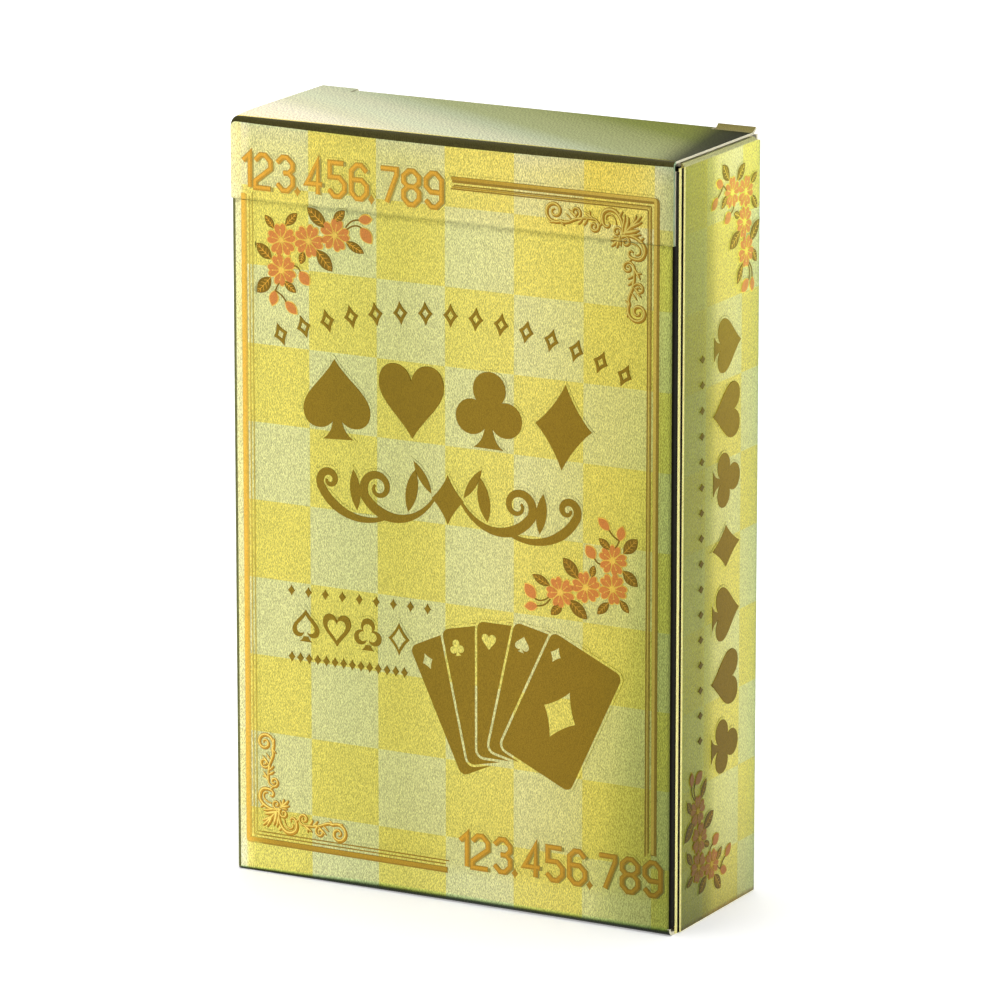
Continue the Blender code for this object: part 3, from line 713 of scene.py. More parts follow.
def make_right_side(carton):
    """Outer layer of the right side, with its raw edge a little behind the front."""
    fold, board = carton.fold, carton.board
    back_fold = bend((carton.right - fold, BACK - fold), fold, board, 90.0, 0.0)
    low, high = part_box("right_dust_flap")[0].y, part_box("right_dust_flap")[1].y
    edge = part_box("right_side_panel")[0].y
    stations = spread(high, low, 12)
    flat = [((carton.right, y), (carton.right - board, y)) for y in [BACK - fold] + stations]
    tight = 0.45 * MM
    top = SIDE_TOP + fold - tight
    heights = spread(0.1 * MM, top - 1.2 * MM, 24) + [top - 0.8 * MM, top - 0.4 * MM, top - 0.15 * MM, top]

    # The raw edge, as depth and distance from it in millimetres: a painted highlight, a groove of painted shade
    # and the bevelled cut, with another painted highlight.
    raw = ((0.0, 1.05), (-0.03, 0.9), (-0.03, 0.74), (0.02, 0.62), (0.1, 0.55), (0.12, 0.24), (0.34, 0.0))

    def rolled(at, z):
        y = edge + at[1] * MM
        return upright(((carton.right - at[0] * MM, y), (carton.right - board, y)), z)

    def beside(share, z):
        return tuple(one.lerp(two, share) for one, two in zip(upright(flat[-1], z), rolled(raw[0], z)))

    def worn(pair, z):
        """Rounded upper corner towards the back."""
        reach = 3.0 * MM
        drop = round_off(1.0 * MM, BACK - pair[0][1])
        return upright(pair, z - drop * max(0.0, (z - top + reach) / reach))

    # The side's top fold takes a painted highlight, and its raw edge painted highlights and painted shade.
    patches = [(back_fold, heights, worn, PRINTED), (flat, heights, worn, PRINTED),
               ((0.0, 1.0), heights, beside, PRINTED), (raw[:4], heights, rolled, HIGHLIT),
               (raw[3:6], heights, rolled, FOLDED), (raw[5:], heights, rolled, HIGHLIT),
               (stations, bend((carton.right - tight, top), tight, board, 0.0, 90.0), along_y, HIGHLIT_FOLD)]
    dress(board_mesh("right_side_board", patches),
          ("side", "inside", "bright", "groove", "bright", "side_fold"),
          "carton", "gold_foil_board", "right_side_panel")


def make_right_glue_flap(carton):
    """Inner layer of the right side: the fold that shows beside the raw edge, dark with painted shade."""
    fold, board = carton.fold, carton.board
    front_fold = bend((LID_RIGHT - fold, carton.front + fold), fold, board, 270.0, 360.0)
    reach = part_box("right_glue_flap")[1].y
    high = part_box("right_glue_flap")[1].z
    foot, taper = 0.88 * MM, 3.0 * MM
    ends = (front_fold[-1], ((LID_RIGHT, reach), (LID_RIGHT - board, reach)))
    rows = spread(foot, CREASE, 24)
    patches = [(front_fold[:5], rows, upright, PRINTED), (front_fold[4:], rows, upright, FOLDED)]
    for root, tip in ((rows, spread(foot + taper, CREASE - taper, 24)),
                      (spread(CREASE, high, 4), spread(CREASE - taper, high - taper, 4))):
        def place(end, row, heights=(root, tip)):
            return upright(ends[end], heights[end][row])

        patches.append(((0, 1), range(len(root)), place, FOLDED))
    dress(board_mesh("right_glue_flap_board", patches), ("front", "inside", "cut", "groove"),
          "carton", "plain_board", "right_glue_flap")


def make_back_panel(carton):
    """Back with its round thumb notch."""
    width, depth = 16.0 * MM, 6.5 * MM
    radius = (width ** 2 / 4.0 + depth ** 2) / (2.0 * depth)
    half = math.degrees(math.atan2(width / 2.0, radius - depth))
    notch = arc((0.0, BACK_TOP - depth + radius), radius, -90.0 - half, -90.0 + half, 32)
    low, high = LEFT + carton.fold, carton.right - carton.fold
    outline = [(high, 0.0), (low, 0.0), (low, BACK_TOP)] + notch + [(high, BACK_TOP)]
    dress(flat_board_mesh("back_panel_board", outline, standing(BACK), (0.0, -carton.board, 0.0)),
          ("back", "inside", "cut"), "carton", "gold_foil_board", "back_panel")


def make_bottom(carton):
    """Bottom panel with its folds, its glued tab and the two side flaps on it."""
    fold, board = carton.fold, carton.board
    tab_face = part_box("bottom_panel")[1].y
    columns = spread(LEFT + 0.04 * MM, LEFT + fold, 6)[:-1] + spread(LEFT + fold, LID_RIGHT - 0.02 * MM, 30)
    back_bend = bend((tab_face - fold, fold), fold, board, 360.0, 270.0)

    def front_place(x, angle):
        """The front fold, set back round the left corner."""
        radius = carton.bottom_fold(x)
        corner = carton.front + round_off(fold, x - LEFT)
        return on_fold(x, (corner + radius, radius), radius, max(radius - board, 0.02 * MM), angle)

    def flat_place(x, share):
        start, end = across_x(x, back_bend[-1]), front_place(x, 270.0)
        return tuple(first.lerp(second, share) for first, second in zip(start, end))

    patches = [(columns, back_bend, across_x, PRINTED), (columns, (0.0, 1.0), flat_place, PRINTED),
               (columns, spread(270.0, 180.0, 8), front_place, FOLDED)]
    # The front fold takes the front's finish, with painted shade where it rolls under.
    dress(board_mesh("bottom_board", patches), ("back", "inside", "cut", "front"),
          "carton", "gold_foil_board", "bottom_panel")

    low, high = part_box("bottom_glue_tab")
    outline = [(low.x, low.z), (high.x, low.z), (high.x, high.z), (low.x, high.z)]
    dress(flat_board_mesh("bottom_tab_board", outline, standing(high.y), (0.0, -board, 0.0)),
          ("back", "inside", "cut"), "carton", "plain_board", "bottom_glue_tab")

    for side, node in ((-1.0, "bottom_left_dust_flap"), (1.0, "bottom_right_dust_flap")):
        low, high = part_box(node)
        edge = (carton.right if side > 0.0 else -LEFT) - board - 0.05 * MM
        tip = min(abs(low.x), abs(high.x))
        rows = bend((edge - fold, low.z + fold), fold, board, 360.0, 270.0)
        rows.append(((tip, low.z), (tip, low.z + board)))
        rows = [[(side * u, v) for u, v in pair] for pair in rows]
        dress(board_mesh(node + "_board", [(spread(low.y, high.y, 10), rows, along_y, PRINTED)]),
              ("side", "inside", "cut"), "carton", "plain_board", node)


def make_lid(carton):
    """Front strip, top panel with its two ears, and tuck flap."""
    fold, board = carton.fold, carton.board - 0.1 * MM
    columns = carton.lid_columns()
    strip_shares = [offset / 40.0 for offset in (0, 0.4, 0.8, 1.2, 1.7, 2.3, 3.2, 5, 10, 20, 30, 40)]

    def strip_place(x, share):
        z = CREASE + share * (HEIGHT - carton.corner_drop(x) - carton.top_fold(x) - CREASE)
        y = carton.front + carton.dip(z)
        return across_x(x, ((y, z), (y + board, z)))

    def fold_place(x, angle):
        radius = carton.top_fold(x)
        centre = (carton.front + radius, HEIGHT - carton.corner_drop(x) - radius)
        return on_fold(x, centre, radius, radius - board, angle)

    patches = [(columns, strip_shares, strip_place, PRINTED),
               (columns, spread(180.0, 90.0, 8), fold_place, FOLDED)]
    # Painted shade on the top fold, and a darker painted sky reflection on the cut edges.
    dress(board_mesh("lid_front_strip_board", patches), ("strip", "inside", "strip_end", "fold"),
          "lid_strip", "gold_foil_lid", "lid_front_strip")

    ear, slit_width, slit = 5.0 * MM, 0.4 * MM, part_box("lid_top_panel")[1].y - 2.2 * MM
    tuck_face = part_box("lid_tuck_flap")[1].y
    inner_left, inner_right = LEFT + ear + slit_width, LID_RIGHT - ear - slit_width
    left_ear = [x for x in columns if x < LEFT + ear - 0.1 * MM] + [LEFT + ear]
    middle = spread(inner_left, inner_right, 36)
    right_ear = spread(LID_RIGHT - ear, LID_RIGHT, 6)

    def lean(x, share):
        """Columns beside the right ear run aslant to the front corner."""
        start, corner = 15.0 * MM, 0.18 * MM
        if x <= start:
            return x
        if x <= LID_RIGHT - ear:
            return x + (1.0 - share) * (ear - corner) * (x - start) / (LID_RIGHT - ear - start)
        return LID_RIGHT - (LID_RIGHT - x) / ear * (ear * share + corner * (1.0 - share))

    def level(x, y):
        z = HEIGHT - carton.corner_drop(x) * math.exp(-(y - carton.front - carton.top_fold(x)) / (1.2 * MM))
        return across_x(x, ((y, z), (y, z - board)))

    def top_place(x, share):
        x = lean(x, share)
        near = carton.front + carton.top_fold(x)
        return level(x, near + share * (slit - near))

    shares = (0.0, 0.02, 0.05, 0.09, 0.15, 0.25, 0.4, 0.6, 0.8, 1.0)
    tuck_fold = bend((tuck_face - fold, HEIGHT - fold), fold, board, 90.0, 0.0)
    roll = 1.6 * MM
    curl = [arc((slit, HEIGHT + roll), radius, -90.0, -42.0, 10) for radius in (roll, roll + board)]
    flat_end = [((slit, HEIGHT), (slit, HEIGHT - board)), tuck_fold[0]]
    whole = left_ear + middle + right_ear
    # A painted highlight runs along the top's front edge, and painted shade darkens the curled right ear.
    patches = [(whole, shares[:2], top_place, HIGHLIT), (whole, shares[1:], top_place, PRINTED),
               (left_ear, [slit, slit + 1.1 * MM, slit + 2.2 * MM], level, PRINTED),
               (middle, flat_end, across_x, PRINTED), (middle, tuck_fold, across_x, PRINTED),
               (right_ear, list(zip(*curl)), across_x, FOLDED)]
    dress(board_mesh("lid_top_board", patches), ("top", "inside", "cut", "ear", "top_rub"),
          "lid_top", "gold_foil_lid", "lid_top_panel")

    low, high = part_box("lid_tuck_flap")
    seam, rounding = 0.03 * MM, 4.0 * MM
    root = HEIGHT - fold - seam
    outline = round_corners([(high.x, low.z), (low.x, low.z), (low.x, root), (high.x, root)],
                            (rounding, rounding, None, None), 10)
    dress(flat_board_mesh("lid_tuck_board", outline, standing(high.y), (0.0, -board, 0.0)),
          ("flap", "inside", "cut"), "tuck", "gold_foil_lid", "lid_tuck_flap")


def make_dust_flaps(carton):
    """The two flaps under the lid, with a rounded tip and a bevelled back corner."""
    slant, rounding = 3.4 * MM, 1.5 * MM
    bevel, shoulder, bevel_end = 4.5 * MM, 2.2 * MM, 6.7 * MM
    for side, node, body in ((-1.0, "left_dust_flap", "left_dust"), (1.0, "right_dust_flap", "right_dust")):
        low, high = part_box(node)
        root = side * ((carton.right if side > 0.0 else -LEFT) - carton.fold)
        tip = low.x if side > 0.0 else high.x
        near, far = low.y + slant, high.y - bevel
        outline = [(root, low.y), (tip, near), (tip, far), (root - side * bevel_end, far),
                   (root - side * shoulder, high.y), (root, high.y)]
        outline = round_corners(outline, (None, rounding, rounding, None, None, None))
        dress(flat_board_mesh(node + "_board", outline, lambda point: Vector((*point, high.z)),
                              (0.0, 0.0, -carton.board)),
              ("flap", "inside", "cut"), body, "plain_board", node)


# Print, drawn in millimetres

# How much deeper the print is pressed than its stated heights, and how far it reaches into the foil.
PRESSED, SUNK = 2.2, 0.05
# Smallest cosine at a mitred corner of an outline and of a line, so that sharp corners stay short.
MITRE, LINE_MITRE = 0.45, 0.4
# Two unit normals with a shorter sum than this point opposite ways.
OPPOSED = 0.2
# Edges of the print that are sharper than this, in degrees, aren't smoothed.
PRINT_SHARP = 12.0
# Gap on each side of the lid's crease, in millimetres, where a print is cut in two.
CREASE_GAP = 0.03


def area(loop):
    """Area inside a loop, below zero if it runs clockwise."""
    return sum(a[0] * b[1] - b[0] * a[1] for a, b in zip(loop, loop[1:] + loop[:1])) / 2.0


def grow_loop(loop, distance):
    """Move a loop outwards (a hole inwards), with mitred corners."""
    grown = []
    count = len(loop)
    for place in range(count):
        here = Vector(loop[place])
        before = here - Vector(loop[place - 1])
        after = Vector(loop[(place + 1) % count]) - here
        if before.length < 1.0e-9 or after.length < 1.0e-9:
            grown.append(tuple(here))
            continue
        one = Vector((before.y, -before.x)).normalized()
        two = Vector((after.y, -after.x)).normalized()
        both = one + two
        both = one if both.length < OPPOSED else both.normalized()
        grown.append(tuple(here + both * (distance / max(MITRE, both.dot(one)))))
    return grown


def emboss(polygons, height, slope, grow=0.0, shape=None):
    """Raise the union of flat polygons from the ground, with sloping edges."""
    shape = shape or bmesh.new()
    height *= PRESSED
    corners, faces = [], []
    for polygon in polygons:
        polygon = [tuple(point) for point in polygon]
        if area(polygon) < 0.0:
            polygon.reverse()
        if grow:
            polygon = grow_loop(polygon, grow)
        faces.append(list(range(len(corners), len(corners) + len(polygon))))
        corners += [Vector(point) for point in polygon]
    spots, _, cells, _, _, sources = delaunay_2d_cdt(corners, [], faces, 1, 1.0e-4)
    flat = [cell for cell, source in zip(cells, sources) if source]
    directed = {edge: True for cell in flat for edge in zip(cell, cell[1:] + cell[:1])}
    rim = [edge for edge in directed if edge[::-1] not in directed]
    outward = {}
    for first, second in rim:
        way = spots[second] - spots[first]
        for place in (first, second):
            outward.setdefault(place, []).append(Vector((way.y, -way.x)).normalized())
    tops, lows = {}, {}
    for place in sorted({place for cell in flat for place in cell}):
        spot = spots[place]
        tops[place] = shape.verts.new((*spot, height))
        if place in outward:
            both = sum(outward[place], Vector((0.0, 0.0)))
            both = both.normalized() if both.length > OPPOSED else outward[place][0]
            spot = spot + both * (slope / max(MITRE, both.dot(outward[place][0])))
        lows[place] = shape.verts.new((*spot, -SUNK))
    for cell in flat:
        shape.faces.new([tops[place] for place in cell])
        shape.faces.new([lows[place] for place in reversed(cell)])
    for first, second in rim:
        shape.faces.new((tops[second], tops[first], lows[first], lows[second]))
    return shape


def quads(left, right, closed=False):
    """Four-sided pieces between two rows of points."""
    pieces = [[left[place], left[place + 1], right[place + 1], right[place]]
              for place in range(len(left) - 1)]
    return pieces + ([[left[-1], left[0], right[0], right[-1]]] if closed else [])


def stroke(points, width, closed=False):
    """Pieces of a line of straight runs, with mitred corners."""
    left, right = [], []
    count = len(points)
    for place in range(count):
        here = Vector(points[place])
        ways = []
        if closed or place > 0:
            ways.append((here - Vector(points[place - 1])).normalized())
        if closed or place < count - 1:
            ways.append((Vector(points[(place + 1) % count]) - here).normalized())
        normals = [Vector((-way.y, way.x)) for way in ways]
        both = sum(normals, Vector((0.0, 0.0))).normalized()
        reach = width / 2.0 / max(LINE_MITRE, both.dot(normals[0]))
        left.append(tuple(here + both * reach))
        right.append(tuple(here - both * reach))
    return quads(left, right, closed)


def ribbon(points, widths):
    """Pieces of a smooth line whose width changes along it."""
    left, right = [], []
    count = len(points)
    for place in range(count):
        here = Vector(points[place])
        way = Vector(points[min(place + 1, count - 1)]) - Vector(points[max(place - 1, 0)])
        side = Vector((-way.y, way.x)).normalized()
        share = place / (count - 1.0) * (len(widths) - 1.0)
        low = min(int(share), len(widths) - 2)
        half = (widths[low] + (widths[low + 1] - widths[low]) * (share - low)) / 2.0
        left.append(tuple(here + side * half))
        right.append(tuple(here - side * half))
    return quads(left, right)


def curve(a, b, c, d, steps=10):
    """Points of a cubic curve with its two ends and two controls."""
    points = []
    for step in range(steps + 1):
        t = step / steps
        points.append(tuple((1 - t) ** 3 * Vector(a) + 3 * t * (1 - t) ** 2 * Vector(b)
                            + 3 * t * t * (1 - t) * Vector(c) + t ** 3 * Vector(d)))
    return points


def spiral(centre, outer, inner, start, sweep, steps=22):
    """Points of a curl from its outer to its inner end; angles in degrees."""
    points = []
    for step in range(steps + 1):
        share = step / steps
        radius = outer + (inner - outer) * share ** 0.8
        angle = math.radians(start + sweep * share)
        points.append((centre[0] + radius * math.cos(angle), centre[1] + radius * math.sin(angle)))
    return points


def disc(centre, radius, steps=20):
    return arc(centre, radius, 0.0, 360.0, steps)[:-1]


def teardrop(base, tip, width, steps=8):
    """Leaf outline between its base and its tip."""
    base, tip = Vector(base), Vector(tip)
    way = tip - base
    side = Vector((-way.y, way.x)).normalized() * width * 0.62
    one = curve(base, base + way * 0.3 + side, base + way * 0.7 + side, tip, steps)
    two = curve(tip, base + way * 0.7 - side, base + way * 0.3 - side, base, steps)
    return one + two[1:-1]


def both_sides(half):
    """Close an outline that is drawn from top to bottom on its right half."""
    return half + [(-u, v) for u, v in half[::-1] if abs(u) > 1.0e-6]


def suit(kind):
    """Outlines of a suit sign, two units high around the origin."""
    if kind == "diamond":
        side = curve((0.0, 1.0), (0.16, 0.62), (0.48, 0.2), (0.72, 0.0), 6)
        half = side + [(u, -v) for u, v in side[:-1][::-1]]
        return [both_sides(half)]
    if kind == "heart":
        half = curve((0.0, 0.5), (0.06, 0.78), (0.26, 0.94), (0.5, 0.94), 7)
        half += curve((0.5, 0.94), (0.76, 0.94), (0.96, 0.74), (0.96, 0.42), 7)[1:]
        half += curve((0.96, 0.42), (0.96, -0.08), (0.36, -0.42), (0.0, -1.0), 10)[1:]
        return [both_sides(half)]
    stem = curve((0.07, -0.14), (0.1, -0.62), (0.18, -0.86), (0.42, -1.0), 6)
    stem = [(-u, v) for u, v in stem[::-1]] + stem
    if kind == "spade":
        half = curve((0.0, 1.0), (0.34, 0.46), (0.94, 0.16), (0.94, -0.28), 10)
        half += curve((0.94, -0.28), (0.94, -0.58), (0.72, -0.72), (0.5, -0.72), 6)[1:]
        half += curve((0.5, -0.72), (0.26, -0.72), (0.1, -0.56), (0.0, -0.36), 6)[1:]
        return [both_sides(half), stem]
    return [disc((0.0, 0.52), 0.47), disc((-0.49, -0.22), 0.46), disc((0.49, -0.22), 0.46),
            disc((0.0, 0.05), 0.26, 10), stem]


def moved(loop, middle, scale, turn=0.0):
    """Scale, turn (degrees) and place a loop."""
    cosine, sine = math.cos(math.radians(turn)) * scale, math.sin(math.radians(turn)) * scale
    return [(middle[0] + u * cosine - v * sine, middle[1] + u * sine + v * cosine) for u, v in loop]


NUMERALS = {
    "1": [((0.1, 0.78), (0.55, 1.0), (0.55, 0.0))],
    "2": [((0.0, 0.82), (0.34, 1.0), (0.66, 1.0), (1.0, 0.82), (1.0, 0.6), (0.0, 0.2), (0.0, 0.0),
           (1.0, 0.0))],
    "3": [((0.0, 0.82), (0.34, 1.0), (0.66, 1.0), (1.0, 0.82), (1.0, 0.66), (0.74, 0.53), (0.4, 0.53)),
          ((0.74, 0.53), (1.0, 0.4), (1.0, 0.18), (0.66, 0.0), (0.34, 0.0), (0.0, 0.18))],
    "4": [((0.72, 0.0), (0.72, 1.0), (0.0, 0.3), (1.0, 0.3))],
    "5": [((0.95, 1.0), (0.05, 1.0), (0.05, 0.57), (0.68, 0.57), (1.0, 0.4), (1.0, 0.18), (0.66, 0.0),
           (0.34, 0.0), (0.0, 0.18))],
    "6": [((1.0, 0.82), (0.66, 1.0), (0.34, 1.0), (0.0, 0.82), (0.0, 0.18), (0.34, 0.0), (0.66, 0.0),
           (1.0, 0.18), (1.0, 0.4), (0.68, 0.56), (0.06, 0.56))],
    "7": [((0.0, 1.0), (1.0, 1.0), (1.0, 0.84), (0.36, 0.0))],
    "8": [((0.34, 0.0), (0.66, 0.0), (1.0, 0.18), (1.0, 0.38), (0.72, 0.53), (0.28, 0.53), (0.0, 0.38),
           (0.0, 0.18), "closed"),
          ((0.28, 0.53), (0.72, 0.53), (1.0, 0.66), (1.0, 0.84), (0.66, 1.0), (0.34, 1.0), (0.0, 0.84),
           (0.0, 0.66), "closed")],
    "9": [((0.0, 0.18), (0.34, 0.0), (0.66, 0.0), (1.0, 0.18), (1.0, 0.82), (0.66, 1.0), (0.34, 1.0),
           (0.0, 0.82), (0.0, 0.6), (0.32, 0.44), (0.94, 0.44))],
}

# Places on the front (across, up) and on the right side (back, up).
FRAME_OUTER = [((0.3, 88.97), (27.42, 88.97), (27.42, 9.75)), ((-28.2, 84.5), (-28.2, 4.0), (-0.5, 4.0))]
FRAME_INNER = [((0.3, 88.06), (26.48, 88.06), (26.48, 9.75)), ((-27.25, 84.5), (-27.25, 4.95), (-0.5, 4.95))]
SPRAY_FLOWERS = [(0.0, 0.0, 1.0, 8.0), (3.73, 0.27, 1.0, 50.0), (7.33, 1.34, 1.0, -12.0),
                 (0.0, -3.66, 0.98, 24.0)]
SPRAY_BUDS = [((10.6, 3.5), (12.35, 3.75), 1.15), ((10.9, 2.55), (12.3, 0.85), 1.5),
              ((2.5, -3.6), (3.7, -5.1), 1.45), ((-0.95, -6.3), (-1.35, -8.1), 1.2),
              ((0.5, -7.5), (2.0, -8.8), 1.2)]
SPRAY_LEAVES = [((-1.0, 1.3), (-2.3, 2.85), 0.8), ((0.5, 1.8), (2.15, 3.5), 0.95),
                ((6.2, 2.1), (3.55, 4.35), 1.35), ((7.1, 2.9), (8.7, 4.4), 1.0),
                ((8.8, 0.7), (11.3, -0.5), 0.95), ((4.8, -0.7), (6.95, -3.15), 1.4),
                ((3.0, -1.1), (2.6, -2.7), 0.8), ((-1.4, -2.5), (-3.5, -0.7), 1.25),
                ((-1.5, -4.7), (-3.45, -6.75), 1.35), ((0.3, -5.0), (1.95, -6.25), 0.85)]
SPRAY_STEMS = [((8.8, 2.4), (9.5, 3.4), (10.0, 3.4), (10.7, 3.5)),
               ((8.8, 2.0), (9.7, 2.9), (10.6, 2.9), (11.0, 2.5)),
               ((1.4, -3.0), (2.0, -2.9), (2.3, -3.1), (2.6, -3.7)),
               ((-0.3, -5.2), (-0.6, -5.6), (-0.8, -5.9), (-0.95, -6.4)),
               ((-0.9, -6.3), (-0.2, -6.6), (0.2, -6.9), (0.6, -7.6))]
FRONT_SPRAYS = [((-23.0, 79.33), 1.0, 0.0), ((21.8, 41.8), 0.95, 180.0)]
SIDE_SPRAYS = [((6.8, 87.2), 0.97, -98.0), ((-4.3, 6.9), 0.95, 82.0)]


def stand_print(context, mesh, face):
    """Turn a flat print, drawn in millimetres, onto the front or the right side of the carton."""
    carton = Carton(context)
    if face == "front":
        turn = Matrix(((1, 0, 0, 0), (0, 0, -1, carton.front / MM), (0, 1, 0, 0), (0, 0, 0, 1)))
    else:
        turn = Matrix(((0, 0, 1, carton.right / MM), (1, 0, 0, 0), (0, 1, 0, 0), (0, 0, 0, 1)))
    mesh.transform(Matrix.Scale(MM, 4) @ turn)


def split_part(shape, above):
    """Copy of a flat print on one side of the lid's crease, closed again along the cut."""
    part = shape.copy()
    level = CREASE / MM + (CREASE_GAP if above else -CREASE_GAP)
    cut = bmesh.ops.bisect_plane(part, geom=part.verts[:] + part.edges[:] + part.faces[:], dist=1.0e-5,
                                 plane_co=(0.0, level, 0.0), plane_no=(0.0, 1.0, 0.0),
                                 clear_inner=above, clear_outer=not above)
    edges = [item for item in cut["geom_cut"] if isinstance(item, bmesh.types.BMEdge)]
    if edges:
        bmesh.ops.holes_fill(part, edges=edges, sides=0)
    return part


def finish_print(context, name, shape, face, look):
    """Make the flat print a piece on the carton, and where it crosses the crease a second one on the lid."""
    parts = [(name, "carton", "gold_foil_board", shape)]
    heights = [corner.co.y for corner in shape.verts]
    if face == "front" and max(heights) > CREASE / MM:
        parts = [(name + "_lid", "lid_strip", "gold_foil_lid", split_part(shape, True))]
        if min(heights) < CREASE / MM:
            parts.append((name, "carton", "gold_foil_board", split_part(shape, False)))
        shape.free()
    for label, body, slot, part in parts:
        if not part.faces:
            part.free()
            continue
        mesh = close_mesh(label, part, PRINT_SHARP)
        stand_print(context, mesh, face)
        own = "strip" if look == "front" and body == "lid_strip" else look
        dress(mesh, (own if own in LOOKS else f"{look}_{face}",), body, slot)


def press(context, face, *layers):
    """Emboss layers of print on a face: name, finish, polygons, height, slope and growth of each."""
    for name, look, polygons, *relief in layers:
        finish_print(context, name, emboss(polygons, *relief), face, look)


def stamp(name, polygons, *relief):
    """An object that only lends its embossed mesh to a node tree."""
    return link(close_mesh(name, emboss(polygons, *relief), PRINT_SHARP))


def one_finish(shape):
    """Copies from a node tree bring a finish of their own: point them all to the piece's first."""
    for made in shape.faces:
        made.material_index = 0


def run_tree(mesh, tree, values):
    """Let a node tree grow a mesh, and return the grown one."""
    base = link(mesh)
    modifier = base.modifiers.new(tree.name, "NODES")
    modifier.node_group = tree
    for item in tree.interface.items_tree:
        if item.in_out == "INPUT" and item.name in values:
            modifier[item.identifier] = values[item.name]
    seen = base.evaluated_get(bpy.context.evaluated_depsgraph_get())
    grown = bpy.data.meshes.new_from_object(seen)
    bpy.data.objects.remove(base)
    return grown


def new_tree(name, lent, count):
    """A node tree that repeats a lent object: the tree, its inputs and its output node."""
    tree = bpy.data.node_groups.new(name, "GeometryNodeTree")
    for label, kind in (("Geometry", "Geometry"), (lent, "Object"), (count, "Int"), ("Finish", "Material")):
        tree.interface.new_socket(label, in_out="INPUT", socket_type=f"NodeSocket{kind}")
    tree.interface.new_socket("Geometry", in_out="OUTPUT", socket_type="NodeSocketGeometry")
    return tree, add_node(tree, "NodeGroupInput").outputs, add_node(tree, "NodeGroupOutput")


def close_tree(tree, end, copies, finish):
    """Make the copies real, give them their finish and hand them on."""
    real = add_node(tree, "GeometryNodeRealizeInstances", None, {0: copies.outputs[0]})
    done = add_node(tree, "GeometryNodeSetMaterial", None, {"Geometry": real.outputs[0], "Material": finish})
    tree.links.new(done.outputs[0], end.inputs[0])
    return tree


def petal_tree():
    """Petals around each centre: a ring of copies, turned and sized by the centre's own values."""
    tree, given, end = new_tree("petals_around_centres", "Petal", "Petals")
    petal = add_node(tree, "GeometryNodeObjectInfo", None, {"Object": given["Petal"]})
    place = add_node(tree, "GeometryNodeInputIndex")
    share = add_node(tree, "ShaderNodeMath", {"operation": "DIVIDE"},
                     {0: place.outputs[0], 1: given["Petals"]})
    turn = add_node(tree, "ShaderNodeMath", {"operation": "MULTIPLY"}, {0: share.outputs[0], 1: math.tau})
    euler = add_node(tree, "ShaderNodeCombineXYZ", None, {"Z": turn.outputs[0]})
    ring = add_node(tree, "GeometryNodePoints", None, {"Count": given["Petals"]})
    flower = add_node(tree, "GeometryNodeInstanceOnPoints", None,
                      {"Points": ring.outputs[0], "Instance": petal.outputs["Geometry"],
                       "Rotation": euler.outputs[0]})
    turned, sized = [add_node(tree, "GeometryNodeInputNamedAttribute", None, {"Name": label}).outputs[0]
                     for label in ("turn", "size")]
    facing = add_node(tree, "ShaderNodeCombineXYZ", None, {"Z": turned})
    many = add_node(tree, "GeometryNodeInstanceOnPoints", None,
                    {"Points": given["Geometry"], "Instance": flower.outputs[0],
                     "Rotation": facing.outputs[0], "Scale": sized})
    return close_tree(tree, end, many, given["Finish"])


def row_tree():
    """Equal copies of a sign along a path, turned to follow it."""
    tree, given, end = new_tree("signs_along_path", "Sign", "Count")
    sign = add_node(tree, "GeometryNodeObjectInfo", None, {"Object": given["Sign"]})
    path = add_node(tree, "GeometryNodeMeshToCurve", None, {0: given["Geometry"]})
    stops = add_node(tree, "GeometryNodeResampleCurve", None, {0: path.outputs[0], "Count": given["Count"]})
    way = add_node(tree, "GeometryNodeInputTangent")
    turn = add_node(tree, "FunctionNodeAlignRotationToVector", {"axis": "X"}, {"Vector": way.outputs[0]})
    row = add_node(tree, "GeometryNodeInstanceOnPoints", None,
                   {"Points": stops.outputs[0], "Instance": sign.outputs["Geometry"],
                    "Rotation": turn.outputs[0]})
    return close_tree(tree, end, row, given["Finish"])


def sign_rows(context, name, face, look, tree, outlines, paths):
    """Rows of one sign along paths, grown by the node tree, as one piece."""
    sign = stamp("one_sign", outlines, 0.035, 0.06)
    whole = bmesh.new()
    for points, count in paths:
        line = bpy.data.meshes.new("path")
        line.from_pydata([(*point, 0.0) for point in points],
                         [(place, place + 1) for place in range(len(points) - 1)], [])
        values = {"Sign": sign, "Count": count, "Finish": LOOKS[f"{look}_{face}"]}
        whole.from_mesh(run_tree(line, tree, values))
    bpy.data.objects.remove(sign)
    one_finish(whole)
    finish_print(context, name, whole, face, look)


# Operators

class DECK_OT_carton(bpy.types.Operator):
    """Fold the carton's fixed panels"""
    bl_idname = "deck.carton"
    bl_label = "Carton panels"

    def execute(self, context):
        make_looks(context)
        carton = Carton(context)
        make_front_panel(carton)
        make_left_side(carton)
        make_right_side(carton)
        make_right_glue_flap(carton)
        make_back_panel(carton)
        make_bottom(carton)
        return {"FINISHED"}


class DECK_OT_lid(bpy.types.Operator):
    """Fold the lid and the flaps under it"""
    bl_idname = "deck.lid"
    bl_label = "Lid and flaps"

    def execute(self, context):
        carton = Carton(context)
        make_lid(carton)
        make_dust_flaps(carton)
        return {"FINISHED"}


class DECK_OT_cards(bpy.types.Operator):
    """Finish the cards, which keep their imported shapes"""
    bl_idname = "deck.cards"
    bl_label = "Cards"

    def execute(self, context):
        for name in frame["record"]["behaviour"]["bodies"]["deck"]:
            for slot in frame["nodes"][name].material_slots:
                slot.material = LOOKS["card"]
        return {"FINISHED"}


